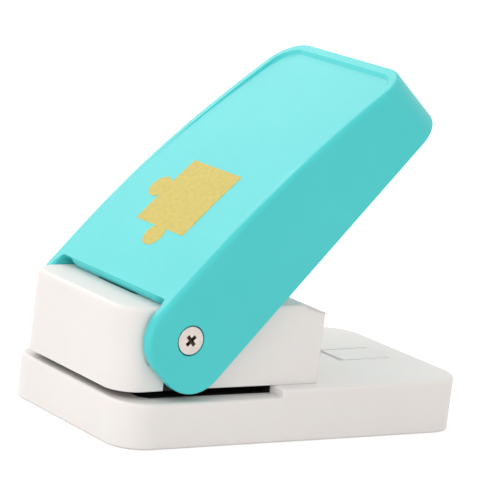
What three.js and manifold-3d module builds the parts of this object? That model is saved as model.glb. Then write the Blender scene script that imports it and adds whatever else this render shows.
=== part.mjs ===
// A lever craft punch: a plastic base, a head that holds the die set, and a long lever.
// Millimetres, +Z up. The origin is the middle of the face that the feet stand on.
// The paper goes in at the front (-Y), the lever's free end is at the rear (+Y).
// The lever is drawn raised, as it rests; pressing it drives the cutter down.
import * as THREE from 'three';
import { mergeVertices } from 'three/addons/utils/BufferGeometryUtils.js';
import Module from 'manifold-3d';

const wasm = await Module();
wasm.setup();

// General values
const PIECE_GAP = 0.3;
const RUNNING_GAP = 0.1;
const OVERRUN = 3;
const WELD_TOLERANCE = 0.0001;
const CURVE_STEPS = 8;
const FINE_CURVE_STEPS = 16;
const ROUND_SIDES = 24;
const SMALL_ROUND_SIDES = 16;
const FILLET_STEPS = 2;
const QUARTER_TURN = Math.PI / 2;

// Base
const BASE_LENGTH = 105;
const BASE_WIDTH = 57;
const BASE_FRONT_CORNER = 8.3;
const BASE_REAR_CORNER = 7;
const BASE_EDGE_FILLET = 0.9;
const BASE_WALL = 2.2;
const DECK_THICKNESS = 2;
const PAPER_FLOOR_HEIGHT = 11.5;
const DECK_STEP = 2.3;
const PAPER_FLOOR_THICKNESS = 2.2;
const FOOT_PROUD = 0.6;

// Latch tongue in the deck
const LATCH_WIDTH = 9.8;
const LATCH_LENGTH = 14.8;
const LATCH_ROOT_INSET = 8.5;
const LATCH_TIP_SLOT = 1.5;
const LATCH_SIDE_SLOT = 0.6;
const LATCH_BARB_DROP = 3.6;
const LATCH_BARB_THICKNESS = 1.6;
const LATCH_NOSE_HEIGHT = 1.3;
const LATCH_NOSE_REACH = 0.7;
const LATCH_HOLD = 0.35;

// Bottom cover, which closes the chip space
const COVER_THICKNESS = 1.6;
const COVER_RIM_HEIGHT = 2.4;
const COVER_RIM_WALL = 1.2;
const COVER_CATCH_THICKNESS = 1.8;
const COVER_CATCH_WIDTH = 7;
const COVER_LUG_WIDTH = 6;
const COVER_LUG_HEIGHT = 1.1;
const COVER_LUG_REACH = 1.2;
const COVER_LUG_SPACING = 30;
const COVER_LUG_RISE = 0.9;

// Rubber feet, let into the bottom cover
const FOOT_DIAMETER = 8;
const FOOT_SEAT_DEPTH = 0.6;
const FOOT_INSET_X = 8.5;
const FOOT_INSET_Y = 9.5;
const FOOT_EDGE_FILLET = 0.2;

// The motif that the punch cuts: a square jigsaw piece with two knobs
const MOTIF_SIDE = 21;
const MOTIF_KNOB_RADIUS = 3.4;
const MOTIF_KNOB_OFFSET = 2.2;
const MOTIF_CENTRE_DEPTH = 24.7;

// Die plate, flush with the paper floor
const DIE_WIDTH = 46;
const DIE_FRONT_INSET = 6.2;
const DIE_THICKNESS = 2.9;
const DIE_CORNER_CUT = 2;
const DIE_LEDGE_WIDTH = 2.2;
const DIE_LEDGE_THICKNESS = 1.6;
const DIE_POCKET_WALL = 1.6;
const DIE_FIT = 0.15;
const CUTTING_FIT = 0.1;
const DIE_SCREW_INSET = 4.6;

// Die frame: guide plate, rear foot and two ears for the pivots
const PAPER_GAP = 1.4;
const FRAME_SIDE_GAP = 0.5;
const GUIDE_THICKNESS = 5;
const GUIDE_FRONT_INSET = 6.3;
const GUIDE_CORNER_CUT = 2;
const FRAME_FOOT_INSET = 1.8;
const FRAME_FOOT_HEIGHT = 6;
const FRAME_BOSS_GAP = 0.4;
const FRAME_SCREW_WALL = 1.4;
const EAR_THICKNESS = 3;
const EAR_HALF_LENGTH = 4.5;
const EAR_TOP_RADIUS = 4.5;
const HUB_RADIUS = 3.5;
const SPRING_POCKET_DEPTH = 3.5;
const SPRING_POCKET_RADIUS = 3.2;
const SPRING_POCKET_WALL = 1.4;

// Head cover
const HEAD_WIDTH = 48.2;
const HEAD_LENGTH = 59.8;
const HEAD_BEHIND_STOP = 13.9;
const HEAD_HEIGHT = 20.1;
const HEAD_FRONT_CORNER = 7;
const HEAD_REAR_CORNER = 1.8;
const HEAD_EDGE_FILLET = 1.1;
const HEAD_WALL = 1.8;
const HEAD_SLOPE_LENGTH = 6.4;
const HEAD_SLOPE_DROP = 2.3;
const HEAD_OPENING_WIDTH = 19;
const HEAD_OPENING_AHEAD = 5.3;
const HEAD_OPENING_BEHIND = 17.2;
const HUB_SLOT_WIDTH = 8.2;
const HEAD_BOSS_RADIUS = 2.1;
const HEAD_BOSS_HEIGHT = 9;
const HEAD_BOSS_SPACING = 26;

// Lever, in its own frame: u runs from the pivot to the free end, n is across it
const PIVOT_DEPTH = 16.8;
const PIVOT_DROP = 7.2;
const LEVER_RAISED_ANGLE = THREE.MathUtils.degToRad(47.4);
const LEVER_TRAVEL = THREE.MathUtils.degToRad(45);
const LEVER_HEAD_GAP = 0.4;
const LEVER_REACH = 88.3;
const LEVER_TOP_RISE = 11.5;
const LEVER_SKIRT_DROP = 13.1;
const LEVER_ARC_START = 8.5;
const LEVER_ARC_RADIUS = 350;
const LEVER_REAR_CORNER = 10;
const LEVER_EDGE_FILLET = 1.1;
const LEVER_SIDE_WALL = 3.3;
const LEVER_TOP_WALL = 2.8;
const LEVER_PLATE_START = 0.8;
const LEVER_NOTCH_CORNER = 2.6;
const LEVER_RECESS_RIM = 1.9;
const LEVER_RECESS_END_RIM = 3.8;
const LEVER_RECESS_DEPTH = 0.55;
const LEVER_RECESS_CORNER = 6.5;
const LEVER_RECESS_START = 24;
const LEVER_RIB_THICKNESS = 1.6;
const LEVER_RIB_DEPTH = 4;
const LEVER_RIB_START = 50;
const LEVER_RIB_SPACING = 12;
const LEVER_RIB_COUNT = 3;

// Press arm under the lever, with its roller
const PRESS_STROKE = 6;
const ROLLER_RADIUS = 3;
const ROLLER_LENGTH = 10.4;
const ROLLER_BORE_RADIUS = 1.1;
const ROLLER_PIN_RADIUS = 1;
const ROLLER_SIDE_GAP = 0.25;
const ARM_THICKNESS = 2.4;
const ARM_EYE_RADIUS = 2.5;
const ARM_ROOT_START = 3;
const ARM_ROOT_END = 14;

// Plunger and cutter
const CUTTER_REST_RISE = 2.4;
const PLUNGER_EAR_GAP = 3.8;
const PLUNGER_LENGTH = 30;
const PLUNGER_THICKNESS = 2;
const PLUNGER_WING_GAP = 1;
const PLUNGER_WING_LENGTH = 8.4;
const PLUNGER_WING_POCKET = 0.8;
const PLUNGER_PAD_LENGTH = 8;
const PLUNGER_PAD_RISE = 0.6;
const PLUNGER_CORNER = 2;

// Return springs
const SPRING_BEHIND_CENTRE = 6.3;
const SPRING_RADIUS = 2.4;
const SPRING_WIRE = 0.6;
const SPRING_TURNS = 5;
const SPRING_STEPS_PER_TURN = 8;
const SPRING_WIRE_SIDES = 5;

// Screws
const PIVOT_HEAD_RADIUS = 3.5;
const PIVOT_HEAD_THICKNESS = 1.3;
const PIVOT_HEAD_CHAMFER = 0.25;
const PIVOT_HEAD_RING = 0.25;
const PIVOT_SHOULDER_RADIUS = 2.3;
const PIVOT_THREAD_RADIUS = 1.6;
const PIVOT_THREAD_LENGTH = 4.6;
const PIVOT_CROSS_WIDTH = 0.9;
const PIVOT_CROSS_LENGTH = 3.4;
const PIVOT_CROSS_DEPTH = 0.8;
const PIVOT_CROSS_TURN = 20;
const FRAME_SCREW = { head: 2.3, headHeight: 1.6, thread: 1.3, length: 7.5, cross: 0.7, crossLength: 2.6 };
const DIE_SCREW = { head: 1.9, headHeight: 1.2, thread: 1, length: 4, cross: 0.5, crossLength: 2 };
const COVER_SCREW = { head: 2.1, headHeight: 1.3, thread: 1.1, length: 7, cross: 0.5, crossLength: 2.2 };
const CUTTER_SCREW = { head: 1.9, headHeight: 0.9, thread: 1, length: 5, cross: 0.5, crossLength: 2 };
const SCREW_HOLE_GAP = 0.1;
const SCREW_CROSS_DEPTH_SHARE = 0.6;
const FRAME_SCREW_OUTER_SPACING = 32;
const FRAME_SCREW_INNER_SPACING = 13;
const CUTTER_SCREW_INSET = 2.7;

// Finishes
function finish(color, roughness, metalness) {
  return new THREE.MeshStandardMaterial({ color, roughness, metalness });
}

const white = finish(0xefece8, 0.5, 0);
const turquoise = finish(0x6fdcdc, 0.45, 0);
const black = finish(0x1c1b1b, 0.55, 0.4);
const steel = finish(0xc9c6c2, 0.3, 1);
const rubber = finish(0x3a3a3a, 0.9, 0);

// Places worked out from the driving sizes
const baseHalfWidth = BASE_WIDTH / 2;
const baseFrontY = -BASE_LENGTH / 2;
const baseRearY = BASE_LENGTH / 2;
const baseBottom = FOOT_PROUD;
const deckHeight = PAPER_FLOOR_HEIGHT + DECK_STEP;
const deckUnderside = deckHeight - DECK_THICKNESS;
const headFrontY = baseFrontY;
const headRearY = headFrontY + HEAD_LENGTH;
const headBossY = headRearY - HEAD_WALL - HEAD_BOSS_RADIUS;
const paperStopY = headRearY - HEAD_BEHIND_STOP;
const latchRootY = baseRearY - LATCH_ROOT_INSET;
const latchTipY = latchRootY - LATCH_LENGTH;
const motifCentreY = baseFrontY + MOTIF_CENTRE_DEPTH;
const dieTop = PAPER_FLOOR_HEIGHT;
const dieBottom = dieTop - DIE_THICKNESS;
const dieFrontY = baseFrontY + DIE_FRONT_INSET;
const dieRearY = paperStopY - PIECE_GAP;
const headBottom = deckHeight + PIECE_GAP;
const headTop = headBottom + HEAD_HEIGHT;
const headSlopeStartY = headRearY - HEAD_SLOPE_LENGTH;
const guideWidth = HEAD_WIDTH - 2 * (HEAD_WALL + FRAME_SIDE_GAP);
const guideFrontY = headFrontY + GUIDE_FRONT_INSET;
const guideBottom = PAPER_FLOOR_HEIGHT + PAPER_GAP;
const guideTop = guideBottom + GUIDE_THICKNESS;
const frameFootRearY = headBossY - HEAD_BOSS_RADIUS - FRAME_BOSS_GAP;
const earOuterX = guideWidth / 2;
const earInnerX = earOuterX - EAR_THICKNESS;
const pivotY = headFrontY + PIVOT_DEPTH;
const pivotZ = headTop - PIVOT_DROP;
const leverInnerHalf = HEAD_WIDTH / 2 + LEVER_HEAD_GAP;
const leverWidth = 2 * (leverInnerHalf + LEVER_SIDE_WALL);
const rollerArmAngle = LEVER_TRAVEL / 2;
const rollerArmLength = PRESS_STROKE / (2 * Math.sin(rollerArmAngle));
const rollerY = pivotY + rollerArmLength * Math.cos(rollerArmAngle);
const rollerZ = pivotZ + rollerArmLength * Math.sin(rollerArmAngle);
const padTop = rollerZ - ROLLER_RADIUS - RUNNING_GAP;
const plungerTop = padTop - PLUNGER_PAD_RISE;
const plungerBottom = plungerTop - PLUNGER_THICKNESS;
const cutterTop = plungerBottom;
const cutterBottom = guideBottom + CUTTER_REST_RISE;
const springX = guideWidth / 2 - SPRING_POCKET_WALL - SPRING_POCKET_RADIUS;
const springY = motifCentreY + SPRING_BEHIND_CENTRE;
const springBottom = guideTop - SPRING_POCKET_DEPTH + PIECE_GAP;
const springTop = plungerBottom + PLUNGER_WING_POCKET - PIECE_GAP;

// Geometry helpers

function solid(geometry) {
  const bare = geometry.clone();
  bare.deleteAttribute('normal');
  bare.deleteAttribute('uv');
  const merged = mergeVertices(bare, WELD_TOLERANCE);
  const vertProperties = new Float32Array(merged.attributes.position.array);
  const triVerts = new Uint32Array(merged.index.array);
  return new wasm.Manifold(new wasm.Mesh({ numProp: 3, vertProperties, triVerts }));
}

function geometryOf(body) {
  const shape = body.getMesh();
  const geometry = new THREE.BufferGeometry();
  geometry.setAttribute('position', new THREE.BufferAttribute(new Float32Array(shape.vertProperties), 3));
  geometry.setIndex(new THREE.BufferAttribute(new Uint32Array(shape.triVerts), 1));
  geometry.computeVertexNormals();
  return geometry;
}

function piece(name, body, material) {
  const mesh = new THREE.Mesh(geometryOf(body), material);
  mesh.name = name;
  return mesh;
}

function block(x0, x1, y0, y1, z0, z1) {
  const box = new THREE.BoxGeometry(x1 - x0, y1 - y0, z1 - z0);
  box.translate((x0 + x1) / 2, (y0 + y1) / 2, (z0 + z1) / 2);
  return solid(box);
}

// A quarter circle of an outline, left out where the corner is sharp.
function addCorner(plan, x, y, radius, startAngle) {
  if (radius > 0) plan.absarc(x, y, radius, startAngle, startAngle + QUARTER_TURN);
}

// A rectangle in plan, with its own corner radius at the front and at the rear.
function roundedPlan(halfWidth, front, rear, frontCorner, rearCorner) {
  const plan = new THREE.Shape();
  plan.moveTo(-halfWidth + frontCorner, front);
  plan.lineTo(halfWidth - frontCorner, front);
  addCorner(plan, halfWidth - frontCorner, front + frontCorner, frontCorner, -QUARTER_TURN);
  plan.lineTo(halfWidth, rear - rearCorner);
  addCorner(plan, halfWidth - rearCorner, rear - rearCorner, rearCorner, 0);
  plan.lineTo(-halfWidth + rearCorner, rear);
  addCorner(plan, -halfWidth + rearCorner, rear - rearCorner, rearCorner, QUARTER_TURN);
  plan.lineTo(-halfWidth, front + frontCorner);
  addCorner(plan, -halfWidth + frontCorner, front + frontCorner, frontCorner, Math.PI);
  return plan;
}

// A rectangle in plan with its two front corners cut off at 45 degrees.
function cutCornerPlan(halfWidth, front, rear, cut) {
  const plan = new THREE.Shape();
  plan.moveTo(-halfWidth + cut, front);
  plan.lineTo(halfWidth - cut, front);
  plan.lineTo(halfWidth, front + cut);
  plan.lineTo(halfWidth, rear);
  plan.lineTo(-halfWidth, rear);
  plan.lineTo(-halfWidth, front + cut);
  plan.closePath();
  return plan;
}

function prism(plan, low, high, curveSegments = CURVE_STEPS) {
  const depth = high - low;
  const geometry = new THREE.ExtrudeGeometry(plan, { depth, bevelEnabled: false, curveSegments });
  geometry.translate(0, 0, low);
  return solid(geometry);
}

// The same prism with its upper edge rounded.
function roundedTopPrism(plan, low, high, fillet) {
  const depth = high - low;
  const geometry = new THREE.ExtrudeGeometry(plan, {
    depth,
    bevelEnabled: true,
    bevelThickness: fillet,
    bevelSize: fillet,
    bevelOffset: -fillet,
    bevelSegments: FILLET_STEPS,
    curveSegments: CURVE_STEPS,
  });
  geometry.translate(0, 0, low - fillet);
  const span = BASE_LENGTH;
  return solid(geometry).intersect(block(-span, span, -span, span, low, high));
}

// A side outline, drawn as (y, z), run across the object between two places on X.
function crosswisePrism(outline, x0, x1, curveSegments = CURVE_STEPS) {
  const depth = x1 - x0;
  const geometry = new THREE.ExtrudeGeometry(outline, { depth, bevelEnabled: false, curveSegments });
  geometry.translate(0, 0, x0);
  return solid(turnedCrosswise(geometry));
}

function turnedCrosswise(geometry) {
  const alongY = new THREE.Vector3(0, 1, 0);
  const alongZ = new THREE.Vector3(0, 0, 1);
  const alongX = new THREE.Vector3(1, 0, 0);
  return geometry.applyMatrix4(new THREE.Matrix4().makeBasis(alongY, alongZ, alongX));
}

function uprightRod(radius, x, y, z0, z1, sides = SMALL_ROUND_SIDES) {
  const rod = new THREE.CylinderGeometry(radius, radius, z1 - z0, sides);
  rod.rotateX(QUARTER_TURN);
  rod.translate(x, y, (z0 + z1) / 2);
  return solid(rod);
}

function crosswiseRod(radius, y, z, x0, x1, sides = ROUND_SIDES) {
  const rod = new THREE.CylinderGeometry(radius, radius, x1 - x0, sides);
  rod.rotateZ(QUARTER_TURN);
  rod.translate((x0 + x1) / 2, y, z);
  return solid(rod);
}

// The jigsaw outline: knobs point to -X and to -Y. Clearance grows it all round.
function motifOutline(clearance) {
  const half = MOTIF_SIDE / 2 + clearance;
  const knob = MOTIF_KNOB_RADIUS + clearance;
  const knobCentre = MOTIF_SIDE / 2 + MOTIF_KNOB_OFFSET;
  const knobTurn = Math.PI - Math.acos((knobCentre - half) / knob);
  const outline = new THREE.Shape();
  outline.moveTo(half, half);
  outline.lineTo(-half, half);
  outline.absarc(-knobCentre, 0, knob, Math.PI - knobTurn, Math.PI + knobTurn);
  outline.lineTo(-half, -half);
  outline.absarc(0, -knobCentre, knob, 3 * QUARTER_TURN - knobTurn, 3 * QUARTER_TURN + knobTurn);
  outline.lineTo(half, -half);
  outline.closePath();
  return outline;
}

function motifPrism(clearance, low, high) {
  return prism(motifOutline(clearance), low, high, FINE_CURVE_STEPS).translate([0, motifCentreY, 0]);
}

// A round-headed screw that points up, with a cross cut in its head.
function uprightScrew(size, x, y, headLow) {
  const headHigh = headLow + size.headHeight;
  const head = uprightRod(size.head, x, y, headLow, headHigh);
  const thread = uprightRod(size.thread, x, y, headHigh - size.headHeight / 2, headHigh + size.length);
  const half = size.cross / 2;
  const reach = size.crossLength / 2;
  const deep = headLow + size.headHeight * SCREW_CROSS_DEPTH_SHARE;
  const along = block(x - reach, x + reach, y - half, y + half, headLow - OVERRUN, deep);
  const across = block(x - half, x + half, y - reach, y + reach, headLow - OVERRUN, deep);
  return head.add(thread).subtract(along).subtract(across);
}

function screwHole(size, x, y, z0, z1) {
  return uprightRod(size.thread + SCREW_HOLE_GAP, x, y, z0, z1);
}

// Base

const baseInnerPlan = (low, high) => {
  const half = baseHalfWidth - BASE_WALL;
  const front = baseFrontY + BASE_WALL;
  const rear = baseRearY - BASE_WALL;
  const plan = roundedPlan(half, front, rear, BASE_FRONT_CORNER - BASE_WALL, BASE_REAR_CORNER - BASE_WALL);
  return prism(plan, low, high);
};

const dieScrewPlaces = [-1, 1].flatMap((side) => {
  const x = side * (DIE_WIDTH / 2 - DIE_SCREW_INSET);
  return [[x, dieFrontY + DIE_SCREW_INSET], [x, dieRearY - DIE_SCREW_INSET]];
});
const frameScrewY = frameFootRearY - FRAME_SCREW_WALL - FRAME_SCREW.thread;
const frameScrewPlaces = [
  -FRAME_SCREW_OUTER_SPACING / 2,
  -FRAME_SCREW_INNER_SPACING / 2,
  FRAME_SCREW_INNER_SPACING / 2,
  FRAME_SCREW_OUTER_SPACING / 2,
];
const dieScrewHeadZ = dieBottom - PIECE_GAP - DIE_LEDGE_THICKNESS - DIE_SCREW.headHeight - SCREW_HOLE_GAP;
const latchSlotHalf = LATCH_WIDTH / 2 + LATCH_SIDE_SLOT;
const lugZ = baseBottom + COVER_THICKNESS + COVER_LUG_RISE;

function baseShell() {
  const width = baseHalfWidth;
  const plan = roundedPlan(width, baseFrontY, baseRearY, BASE_FRONT_CORNER, BASE_REAR_CORNER);
  const floorLayer = roundedTopPrism(plan, baseBottom, PAPER_FLOOR_HEIGHT, BASE_EDGE_FILLET);
  const behindStop = block(-width, width, paperStopY, baseRearY, baseBottom, deckHeight);
  const deckLayer = roundedTopPrism(plan, baseBottom, deckHeight, BASE_EDGE_FILLET).intersect(behindStop);
  const floorUnderside = PAPER_FLOOR_HEIGHT - PAPER_FLOOR_THICKNESS;
  const roomFront = paperStopY + BASE_WALL;
  const deckRoom = block(-width, width, roomFront, baseRearY, baseBottom - OVERRUN, deckUnderside);
  let shell = floorLayer.add(deckLayer);
  shell = shell.subtract(baseInnerPlan(baseBottom - OVERRUN, floorUnderside));
  shell = shell.subtract(baseInnerPlan(baseBottom, deckUnderside).intersect(deckRoom));

  // The pocket that the die plate drops into, with a ledge under its edge
  const pocketHalf = DIE_WIDTH / 2 + DIE_FIT;
  const pocketFront = dieFrontY - DIE_FIT;
  const pocketRear = paperStopY;
  const ledgeTop = dieBottom - PIECE_GAP / 2;
  const ledgeBottom = ledgeTop - DIE_LEDGE_THICKNESS;
  const wallHalf = pocketHalf + DIE_POCKET_WALL;
  const wallRear = pocketRear + DIE_POCKET_WALL;
  const wallFront = pocketFront - DIE_POCKET_WALL;
  const surroundTop = floorUnderside + WELD_TOLERANCE;
  const surround = block(-wallHalf, wallHalf, wallFront, wallRear, ledgeBottom, surroundTop);
  const pocketPlan = cutCornerPlan(pocketHalf, pocketFront, pocketRear, DIE_CORNER_CUT);
  const hole = prism(pocketPlan, ledgeTop, deckHeight);
  const openHalf = pocketHalf - DIE_LEDGE_WIDTH;
  const openFront = pocketFront + DIE_LEDGE_WIDTH;
  const openRear = pocketRear - DIE_LEDGE_WIDTH;
  const opening = block(-openHalf, openHalf, openFront, openRear, baseBottom, ledgeTop + WELD_TOLERANCE);
  shell = shell.add(surround);
  let throat = opening;
  for (const [x, y] of dieScrewPlaces) {
    throat = throat.subtract(uprightRod(DIE_SCREW.head + DIE_POCKET_WALL / 2, x, y, baseBottom, ledgeTop));
  }
  shell = shell.subtract(hole).subtract(throat);
  for (const [x, y] of dieScrewPlaces) {
    shell = shell.subtract(screwHole(DIE_SCREW, x, y, ledgeBottom - OVERRUN, dieBottom));
  }
  for (const x of frameScrewPlaces) {
    const room = FRAME_SCREW.head + 2 * SCREW_HOLE_GAP;
    shell = shell.subtract(uprightRod(room, x, frameScrewY, baseBottom, deckUnderside));
    shell = shell.subtract(screwHole(FRAME_SCREW, x, frameScrewY, deckUnderside - OVERRUN, headBottom));
  }
  for (const side of [-1, 1]) {
    const x = side * HEAD_BOSS_SPACING / 2;
    shell = shell.subtract(screwHole(COVER_SCREW, x, headBossY, deckUnderside - OVERRUN, headBottom));
  }

  // The slot round the latch tongue, and the pockets for the cover's lugs
  const slotHalf = latchSlotHalf;
  const slotFront = latchTipY - LATCH_TIP_SLOT;
  shell = shell.subtract(block(-slotHalf, slotHalf, slotFront, latchRootY, baseBottom, headBottom));
  for (const side of [-1, 1]) {
    const centre = side * COVER_LUG_SPACING / 2;
    const half = COVER_LUG_WIDTH / 2 + PIECE_GAP;
    const reach = baseFrontY + BASE_WALL - COVER_LUG_REACH - PIECE_GAP;
    const low = lugZ - PIECE_GAP;
    const high = lugZ + COVER_LUG_HEIGHT + PIECE_GAP;
    const inside = baseFrontY + BASE_WALL + PIECE_GAP;
    shell = shell.subtract(block(centre - half, centre + half, reach, inside, low, high));
  }
  return shell;
}

// The tongue is sprung at its rear end and carries a barb that holds the bottom cover.
function deckLatch() {
  const half = LATCH_WIDTH / 2;
  const root = latchRootY - PIECE_GAP;
  const tongue = block(-half, half, latchTipY, root, deckUnderside, deckHeight);
  const barbBottom = deckUnderside - LATCH_BARB_DROP;
  const barbHalf = COVER_CATCH_WIDTH / 2;
  const barbRear = latchTipY + LATCH_BARB_THICKNESS;
  const barbTop = deckUnderside + DECK_THICKNESS / 2;
  const barb = block(-barbHalf, barbHalf, latchTipY, barbRear, barbBottom, barbTop);
  const noseFront = latchTipY - LATCH_NOSE_REACH;
  const noseTop = barbBottom + LATCH_NOSE_HEIGHT;
  const nose = block(-barbHalf, barbHalf, noseFront, barbRear, barbBottom, noseTop);
  return tongue.add(barb).add(nose);
}

const footPlaces = [
  ['foot_front_left', -1, -1],
  ['foot_front_right', 1, -1],
  ['foot_rear_left', -1, 1],
  ['foot_rear_right', 1, 1],
].map(([name, sideX, sideY]) => ({
  name,
  x: sideX * (baseHalfWidth - FOOT_INSET_X),
  y: sideY * (baseRearY - FOOT_INSET_Y),
}));

function bottomCover() {
  const inset = BASE_WALL + PIECE_GAP;
  const half = baseHalfWidth - inset;
  const front = baseFrontY + inset;
  const rear = baseRearY - inset;
  const frontCorner = BASE_FRONT_CORNER - inset;
  const rearCorner = BASE_REAR_CORNER - inset;
  const coverTop = baseBottom + COVER_THICKNESS;
  const rimTop = coverTop + COVER_RIM_HEIGHT;
  const rim = COVER_RIM_WALL;
  const innerPlan = roundedPlan(half - rim, front + rim, rear - rim, frontCorner - rim, rearCorner - rim);
  let cover = prism(roundedPlan(half, front, rear, frontCorner, rearCorner), baseBottom, rimTop);
  cover = cover.subtract(prism(innerPlan, coverTop, rimTop + OVERRUN));

  // The catch that the tongue's barb holds
  const catchHalf = COVER_CATCH_WIDTH / 2;
  const barbBottom = deckUnderside - LATCH_BARB_DROP;
  const noseTop = barbBottom + LATCH_NOSE_HEIGHT;
  const catchTop = deckUnderside - PIECE_GAP;
  const noseRear = latchTipY - LATCH_NOSE_REACH + LATCH_HOLD;
  const postRear = latchTipY - LATCH_NOSE_REACH - PIECE_GAP;
  const postFront = postRear - COVER_CATCH_THICKNESS;
  cover = cover.add(block(-catchHalf, catchHalf, postFront, postRear, baseBottom, catchTop));
  cover = cover.add(block(-catchHalf, catchHalf, postFront, noseRear, noseTop + PIECE_GAP, catchTop));

  for (const side of [-1, 1]) {
    const centre = side * COVER_LUG_SPACING / 2;
    const lugHalf = COVER_LUG_WIDTH / 2;
    const tip = baseFrontY + BASE_WALL - COVER_LUG_REACH;
    const lugTop = lugZ + COVER_LUG_HEIGHT;
    cover = cover.add(block(centre - lugHalf, centre + lugHalf, tip, front + rim, lugZ, lugTop));
  }
  for (const { x, y } of footPlaces) {
    const seat = baseBottom + FOOT_SEAT_DEPTH;
    cover = cover.subtract(uprightRod(FOOT_DIAMETER / 2 + PIECE_GAP, x, y, -OVERRUN, seat, ROUND_SIDES));
  }
  return cover;
}

function foot({ name, x, y }) {
  const radius = FOOT_DIAMETER / 2;
  const top = baseBottom + FOOT_SEAT_DEPTH - PIECE_GAP;
  const profile = [
    new THREE.Vector2(0, 0),
    new THREE.Vector2(radius - FOOT_EDGE_FILLET, 0),
    new THREE.Vector2(radius, FOOT_EDGE_FILLET),
    new THREE.Vector2(radius, top),
    new THREE.Vector2(0, top),
  ];
  const pad = new THREE.LatheGeometry(profile, ROUND_SIDES);
  pad.rotateX(QUARTER_TURN);
  pad.translate(x, y, 0);
  return piece(name, solid(pad), rubber);
}

// Die set

function diePlate() {
  const plan = cutCornerPlan(DIE_WIDTH / 2, dieFrontY, dieRearY, DIE_CORNER_CUT);
  let plate = prism(plan, dieBottom, dieTop);
  plate = plate.subtract(motifPrism(CUTTING_FIT, dieBottom - OVERRUN, dieTop + OVERRUN));
  for (const [x, y] of dieScrewPlaces) {
    const depth = dieScrewHeadZ + DIE_SCREW.headHeight + DIE_SCREW.length + SCREW_HOLE_GAP;
    plate = plate.subtract(screwHole(DIE_SCREW, x, y, dieBottom - OVERRUN, depth));
  }
  return plate;
}

function frameEar(side) {
  const inner = side * earInnerX;
  const outer = side * earOuterX;
  const low = Math.min(inner, outer);
  const high = Math.max(inner, outer);
  const front = pivotY - EAR_HALF_LENGTH;
  const rear = pivotY + EAR_HALF_LENGTH;
  const upright = block(low, high, front, rear, guideTop - GUIDE_THICKNESS / 2, pivotZ);
  const top = crosswiseRod(EAR_TOP_RADIUS, pivotY, pivotZ, low, high);
  const hubEnd = side * (leverInnerHalf - PIECE_GAP);
  const hub = crosswiseRod(HUB_RADIUS, pivotY, pivotZ, Math.min(inner, hubEnd), Math.max(inner, hubEnd));
  return upright.add(top).add(hub);
}

function punchFrame() {
  const plan = cutCornerPlan(guideWidth / 2, guideFrontY, dieRearY, GUIDE_CORNER_CUT);
  const footHalf = guideWidth / 2 - FRAME_FOOT_INSET;
  const footFront = dieRearY - GUIDE_CORNER_CUT;
  let frame = prism(plan, guideBottom, guideTop);
  const footTop = headBottom + FRAME_FOOT_HEIGHT;
  frame = frame.add(block(-footHalf, footHalf, footFront, frameFootRearY, headBottom, footTop));
  frame = frame.add(frameEar(-1)).add(frameEar(1));
  frame = frame.subtract(motifPrism(CUTTING_FIT, guideBottom - OVERRUN, guideTop + OVERRUN));
  for (const side of [-1, 1]) {
    const x = side * springX;
    const pocketFloor = guideTop - SPRING_POCKET_DEPTH;
    frame = frame.subtract(uprightRod(SPRING_POCKET_RADIUS, x, springY, pocketFloor, guideTop + OVERRUN));
    const threadEnd = leverInnerHalf - PIVOT_THREAD_LENGTH - OVERRUN;
    const hole = PIVOT_THREAD_RADIUS + SCREW_HOLE_GAP;
    const low = Math.min(side * threadEnd, side * leverWidth / 2);
    const high = Math.max(side * threadEnd, side * leverWidth / 2);
    frame = frame.subtract(crosswiseRod(hole, pivotY, pivotZ, low, high, SMALL_ROUND_SIDES));
  }
  for (const x of frameScrewPlaces) {
    const end = deckUnderside + FRAME_SCREW.length + SCREW_HOLE_GAP;
    frame = frame.subtract(screwHole(FRAME_SCREW, x, frameScrewY, headBottom - OVERRUN, end));
  }
  return frame;
}

// Head cover

function sideOutline(points) {
  const outline = new THREE.Shape();
  outline.moveTo(points[0][0], points[0][1]);
  for (const [y, z] of points.slice(1)) outline.lineTo(y, z);
  outline.closePath();
  return outline;
}

// What lies above the slope at the rear of the head's top, lowered by a wall.
function aboveRearSlope(wall) {
  const top = headTop - wall;
  const rise = HEAD_SLOPE_DROP / (headRearY - headSlopeStartY);
  const startY = headSlopeStartY;
  const endY = headRearY + OVERRUN;
  const endZ = top - rise * (endY - startY);
  const points = [[startY, top], [endY, endZ], [endY, top + OVERRUN], [startY, top + OVERRUN]];
  return crosswisePrism(sideOutline(points), -HEAD_WIDTH, HEAD_WIDTH);
}

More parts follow.
